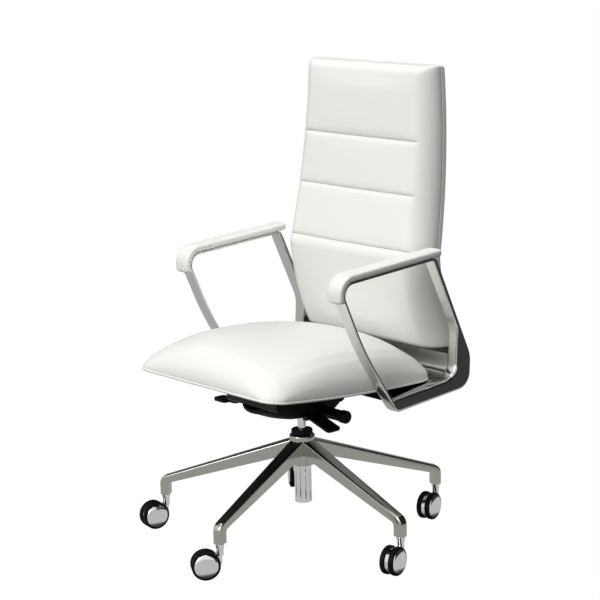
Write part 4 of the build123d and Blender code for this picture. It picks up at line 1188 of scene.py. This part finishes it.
class CHAIR_OT_castors(bpy.types.Operator):
    """Twin-wheel castors with domed caps"""

    bl_idname = "chair.castors"
    bl_label = "Castors"

    def execute(self, context):
        for number in CASTORS:
            left, right = (middle_of(f"castor_wheel_{side}_{number}") for side, _ in SIDES)
            across = (left - right) / np.linalg.norm(left - right)
            self.add_wheel("left", number, left, across)
            self.add_wheel("right", number, right, -across)
            fork = eased_copy(f"castor_fork_{number}", f"castor_fork_metal_{number}", FORK_EDGE)
            dress(fork, f"castor_{number}", "chrome", f"castor_fork_{number}")
        return {"FINISHED"}

    def add_wheel(self, side, number, centre, axis):
        """Wheel and cap: two profiles carried round the axle."""
        face, edge = WHEEL_HALF, WHEEL_EDGE
        shoulder, groove = WHEEL_RADIUS - edge, WHEEL_RADIUS - TREAD_GROOVE
        tyre = profile_line(
            (WHEEL_BORE, -face), (0.0285, -face), quarter((shoulder, -face + edge), edge, -90, 0),
            (WHEEL_RADIUS, -0.0012), (groove, -0.0008), (groove, 0.0008), (WHEEL_RADIUS, 0.0012),
            quarter((shoulder, face - edge), edge, 0, 90), (0.0276, face), (RECESS_RADIUS, face - 0.0006),
            (RECESS_RADIUS, face - RECESS_DEPTH), (WHEEL_BORE, face - RECESS_DEPTH))
        reach = np.linspace(1, 0, 22)[:-1]
        bulge = face + 0.0004 + DOME_RISE * np.sqrt(1 - 0.98 * reach ** 2)
        cap = profile_line(
            (0.0, face - CAP_DEPTH), (CAP_RADIUS, face - CAP_DEPTH), (0.0269, face + 0.0002),
            np.stack((DOME_RADIUS * reach, bulge), axis=1), (0.0, face + 0.0004 + DOME_RISE))
        for name, look, node, profile, closed in (
                ("castor_tyre", "wheel_black", "castor_wheel", tyre, True),
                ("castor_cap_chrome", "chrome", "castor_cap", cap, False)):
            piece = grid_piece(f"{name}_{side}_{number}", lathe(profile, centre, axis, 96), round_rows=closed)
            set_sharp(piece, CRISP_DEGREES)
            dress(piece, f"wheel_{side}_{number}", look, f"{node}_{side}_{number}")


class CHAIR_OT_mechanism(bpy.types.Operator):
    """Tilt mechanism with its cover, handle, lock paddle and height lever"""

    bl_idname = "chair.mechanism"
    bl_label = "Mechanism"

    def execute(self, context):
        edge = context.scene.chair_plastic.edge
        pieces = (
            ("mechanism_housing", "mechanism_case", "chassis", "black_metal"),
            ("tension_handle", "tension_grip_moulding", "tension_grip", "black_plastic"),
            ("lock_lever", "lock_paddle", "tilt_lock", "black_plastic"),
            ("height_lever", "height_paddle", "lift_lever", "black_plastic"),
        )
        for node, name, body, look in pieces:
            dress(eased_copy(node, name, edge), body, look, node)
        self.add_belly(context.scene.chair_plastic)
        return {"FINISHED"}

    def add_belly(self, sizes):
        """Belly cover: a boat hull of superellipse sections between a keel and the case's floor.

        Its upper side is hollow, so that the valve pin has room.
        """
        y = np.concatenate((BELLY_FRONT_Y + np.array((0.0, 0.001, 0.004)), np.linspace(-0.140, 0.040, 46)))
        floor = np.interp(y, *np.transpose(CASE_FLOOR)) + BELLY_OVERLAP
        keel = np.interp(y, *np.transpose(BELLY_KEEL))
        keel = np.convolve(np.pad(keel, 4, mode="edge"), np.full(9, 1 / 9), mode="valid")
        widening = np.sqrt(unit((y - BELLY_FRONT_Y) / BELLY_NOSE))
        half = sizes.belly_half_width * (0.55 + 0.45 * widening)
        angle = np.linspace(0, np.pi, 41)
        lid = np.linspace(-1, 1, 15)[1:-1]
        x = half[:, None] * np.concatenate((rounded(np.cos(angle), BELLY_POWER), lid))
        dip = np.concatenate((rounded(np.sin(angle), BELLY_POWER), BELLY_LID_DEPTH * np.sqrt(1 - lid ** 2)))
        drop = np.maximum(floor - keel, BELLY_LEAST_DROP)[:, None] * dip
        points = np.dstack((x, np.broadcast_to(y[:, None], x.shape), MECH_Z + floor[:, None] - drop))
        piece = grid_piece("mechanism_belly", points)
        set_sharp(piece, CRISP_DEGREES)
        dress(piece, "chassis", "black_plastic", "mechanism_cover")


class CHAIR_OT_inner_parts(bpy.types.Operator):
    """Finishes of the pins, bolts and other inner parts"""

    bl_idname = "chair.inner_parts"
    bl_label = "Inner parts"

    def execute(self, context):
        for node in ("castor_stems", "thrust_bearing", "piston_rod", "rod_clip", "valve_pin", "seat_bolts",
                     "back_bolts", "arm_studs"):
            paint_node(node, "steel")
        for number in CASTORS:
            paint_node(f"castor_axle_{number}", "steel")
        paint_node("tilt_spring", "spring_rubber")
        paint_node("seat_pan", "plywood")
        for node in ("seat_plate", "tilt_axle", "seat_pivot_pin"):
            paint_node(node, "black_metal")
        return {"FINISHED"}


class CHAIR_OT_stage(bpy.types.Operator):
    """Floor, soft lamps, surroundings and camera"""

    bl_idname = "chair.stage"
    bl_label = "Stage"

    def execute(self, context):
        sizes = context.scene.chair_stage
        context.scene.view_settings.view_transform = "Standard"
        self.add_floor(sizes)
        self.add_surroundings(context.scene)
        self.add_lamp("key_lamp", KEY_LAMP, 2.6, sizes.key_power)
        self.add_lamp("top_lamp", TOP_LAMP, 2.4, sizes.top_power)
        rear = self.add_lamp("rear_lamp", REAR_LAMP, 2.6, sizes.rear_power)
        rear.visible_glossy = False
        self.add_camera(context.scene, sizes)
        return {"FINISHED"}

    def add_floor(self, sizes):
        """A wide floor that takes the chair's shadow and looks white to the eye and in the metal."""
        reach = np.linspace(-FLOOR_REACH, FLOOR_REACH, 3)
        x, y = np.meshgrid(reach, reach, indexing="ij")
        floor = grid_piece("floor", np.dstack((x, y, np.full_like(x, FLOOR_Z))), round_columns=False)
        floor.data.materials.append(finish("floor_white", self.floor_recipe))

    def floor_recipe(self, paint):
        """Nearly all white of its own to the camera, and half so in reflections.

        In reflections it carries painted shade: a painted shadow close to the castors and a painted dark
        reflection on the side that the arm loops face.
        """
        sizes = bpy.context.scene.chair_stage
        seen = paint.add("ShaderNodeLightPath", out="Is Camera Ray")
        ways = seen.socket.node.outputs
        mirrored = Tone(paint, ways["Is Glossy Ray"]) + Tone(paint, ways["Is Transmission Ray"])
        lit = paint.add("ShaderNodeBsdfDiffuse", None, {"Color": colour(sizes.floor_colour)})
        white = paint.add("ShaderNodeEmission", None, {"Color": (1, 1, 1, 1), "Strength": FLOOR_GLOW})
        shader = paint.add("ShaderNodeMixShader", None, {0: 0.9 * seen + 0.5 * mirrored, 1: lit, 2: white})
        place = paint.place()
        # Painted dark reflection on the side the arm loops face, then a painted shadow round each castor,
        # both seen only in reflections
        dark = self.facing(paint, place, BESIDE_LOOPS).fitted(0.75, 1.1, 0.0, 0.9)
        for number in CASTORS:
            foot = (*middle_of(f"castor_fork_{number}")[:2].tolist(), 0.0)
            away = paint.add("ShaderNodeVectorMath", {"operation": "DISTANCE"}, {0: place, 1: foot}, "Value")
            dark = dark.most(away.fitted(PAINTED_SHADOW_INNER, PAINTED_SHADOW_OUTER, 0.9, 0.0))
        dark = mirrored * dark
        black = paint.add("ShaderNodeEmission", None, {"Color": (0, 0, 0, 1), "Strength": 0.0})
        shader = paint.add("ShaderNodeMixShader", None, {0: dark, 1: shader, 2: black})
        paint.add_output("ShaderNodeOutputMaterial", shader)

    def add_surroundings(self, scene):
        """A studio by direction: even light, brighter above, in front and on the right, darker behind.

        In reflections it is a bright card in front and dark elsewhere, and to the camera it is white.
        """
        world = bpy.data.worlds.new("studio")
        world.use_nodes = True
        scene.world = world
        paint = Paint(world.node_tree)
        way = paint.add("ShaderNodeTexCoord", out="Generated")
        height = paint.add("ShaderNodeSeparateXYZ", None, {0: way}, "Z")
        front = self.facing(paint, way, FRONT_LEFT).fitted(0.0, 0.8)
        behind = self.facing(paint, way, BEHIND_CHAIR).fitted(0.15, 0.5)
        side = self.facing(paint, way, RIGHT_SIDE).fitted(0.1, 0.9)
        light = scene.chair_stage.sky + 0.2 * height.fitted(0.45, 0.95) + 0.2 * front + 0.22 * side
        light = light * (1.0 - 0.4 * behind)
        card = self.facing(paint, way, FRONT_RIGHT).fitted(0.12, 0.3)
        mirror = 0.03 + 0.85 * card
        glossy = paint.add("ShaderNodeLightPath", out="Is Glossy Ray")
        seen = Tone(paint, glossy.socket.node.outputs["Is Camera Ray"])
        light = (light * (1.0 - glossy) + mirror * glossy) * (1.0 - seen) + seen
        shader = paint.add("ShaderNodeBackground", None, {"Color": (1, 1, 1, 1), "Strength": light})
        paint.add_output("ShaderNodeOutputWorld", shader)

    def facing(self, paint, way, direction):
        """How far a way points in a direction."""
        return paint.add(
            "ShaderNodeVectorMath", {"operation": "DOT_PRODUCT"}, {0: way, 1: direction}, "Value")

    def add_lamp(self, name, place, size, power):
        """A square soft lamp that faces the chair."""
        lamp = bpy.data.lights.new(name, "AREA")
        lamp.size = size
        lamp.energy = power
        holder = linked(name, lamp)
        holder.location = place
        holder.rotation_euler = (Vector(LAMP_AIM) - Vector(place)).to_track_quat("-Z", "Y").to_euler()
        return holder

    def add_camera(self, scene, sizes):
        """The camera by its place, heading, pitch and roll."""
        lens = bpy.data.cameras.new("camera")
        lens.sensor_width = SENSOR_WIDTH
        lens.lens = sizes.focal_length
        lens.clip_end = VIEW_END
        holder = linked("camera", lens)
        heading = Vector((-math.sin(sizes.camera_heading), math.cos(sizes.camera_heading), 0))
        right = Vector((math.cos(sizes.camera_heading), math.sin(sizes.camera_heading), 0))
        above = Vector((0, 0, 1))
        ahead = heading * math.cos(sizes.camera_pitch) - above * math.sin(sizes.camera_pitch)
        up = above * math.cos(sizes.camera_pitch) + heading * math.sin(sizes.camera_pitch)
        lean, upright = math.sin(sizes.camera_roll), math.cos(sizes.camera_roll)
        turned_right, turned_up = right * upright - up * lean, right * lean + up * upright
        turn = Matrix((turned_right, turned_up, -ahead)).transposed().to_4x4()
        holder.matrix_world = Matrix.Translation(Vector(sizes.camera_place)) @ turn
        scene.camera = holder


OPERATORS = (
    CHAIR_OT_seat_cushion, CHAIR_OT_back_cushion, CHAIR_OT_arm_pads, CHAIR_OT_arm_loops, CHAIR_OT_cradle,
    CHAIR_OT_star_base, CHAIR_OT_castors, CHAIR_OT_mechanism, CHAIR_OT_inner_parts, CHAIR_OT_stage)
GROUPS = (
    ("chair_upholstery", UpholsterySizes), ("chair_metal", MetalSizes), ("chair_plastic", PlasticSizes),
    ("chair_stage", StageSizes))


class CHAIR_PT_panel(bpy.types.Panel):
    """Lists the chair's pieces and sizes"""

    bl_idname = "CHAIR_PT_panel"
    bl_label = "Swivel office chair"
    bl_space_type = "VIEW_3D"
    bl_region_type = "UI"
    bl_category = "Chair"

    def draw(self, context):
        for operator in OPERATORS:
            self.layout.operator(operator.bl_idname)
        for name, group in GROUPS:
            box = self.layout.box()
            for key in group.__annotations__:
                box.prop(getattr(context.scene, name), key)


def register():
    """Registers the sizes, the operators and the panel."""
    for name, group in GROUPS:
        bpy.utils.register_class(group)
        setattr(bpy.types.Scene, name, bpy.props.PointerProperty(type=group))
    for operator in OPERATORS:
        bpy.utils.register_class(operator)
    bpy.utils.register_class(CHAIR_PT_panel)


def unregister():
    """Takes them out again, last first."""
    bpy.utils.unregister_class(CHAIR_PT_panel)
    for operator in reversed(OPERATORS):
        bpy.utils.unregister_class(operator)
    for name, group in reversed(GROUPS):
        delattr(bpy.types.Scene, name)
        bpy.utils.unregister_class(group)


def main():
    """Builds every piece in order."""
    register()
    bpy.ops.chair.seat_cushion()
    bpy.ops.chair.back_cushion()
    bpy.ops.chair.arm_pads()
    bpy.ops.chair.arm_loops()
    bpy.ops.chair.cradle()
    bpy.ops.chair.star_base()
    bpy.ops.chair.castors()
    bpy.ops.chair.mechanism()
    bpy.ops.chair.inner_parts()
    bpy.ops.chair.stage()


if __name__ == "__main__":
    main()
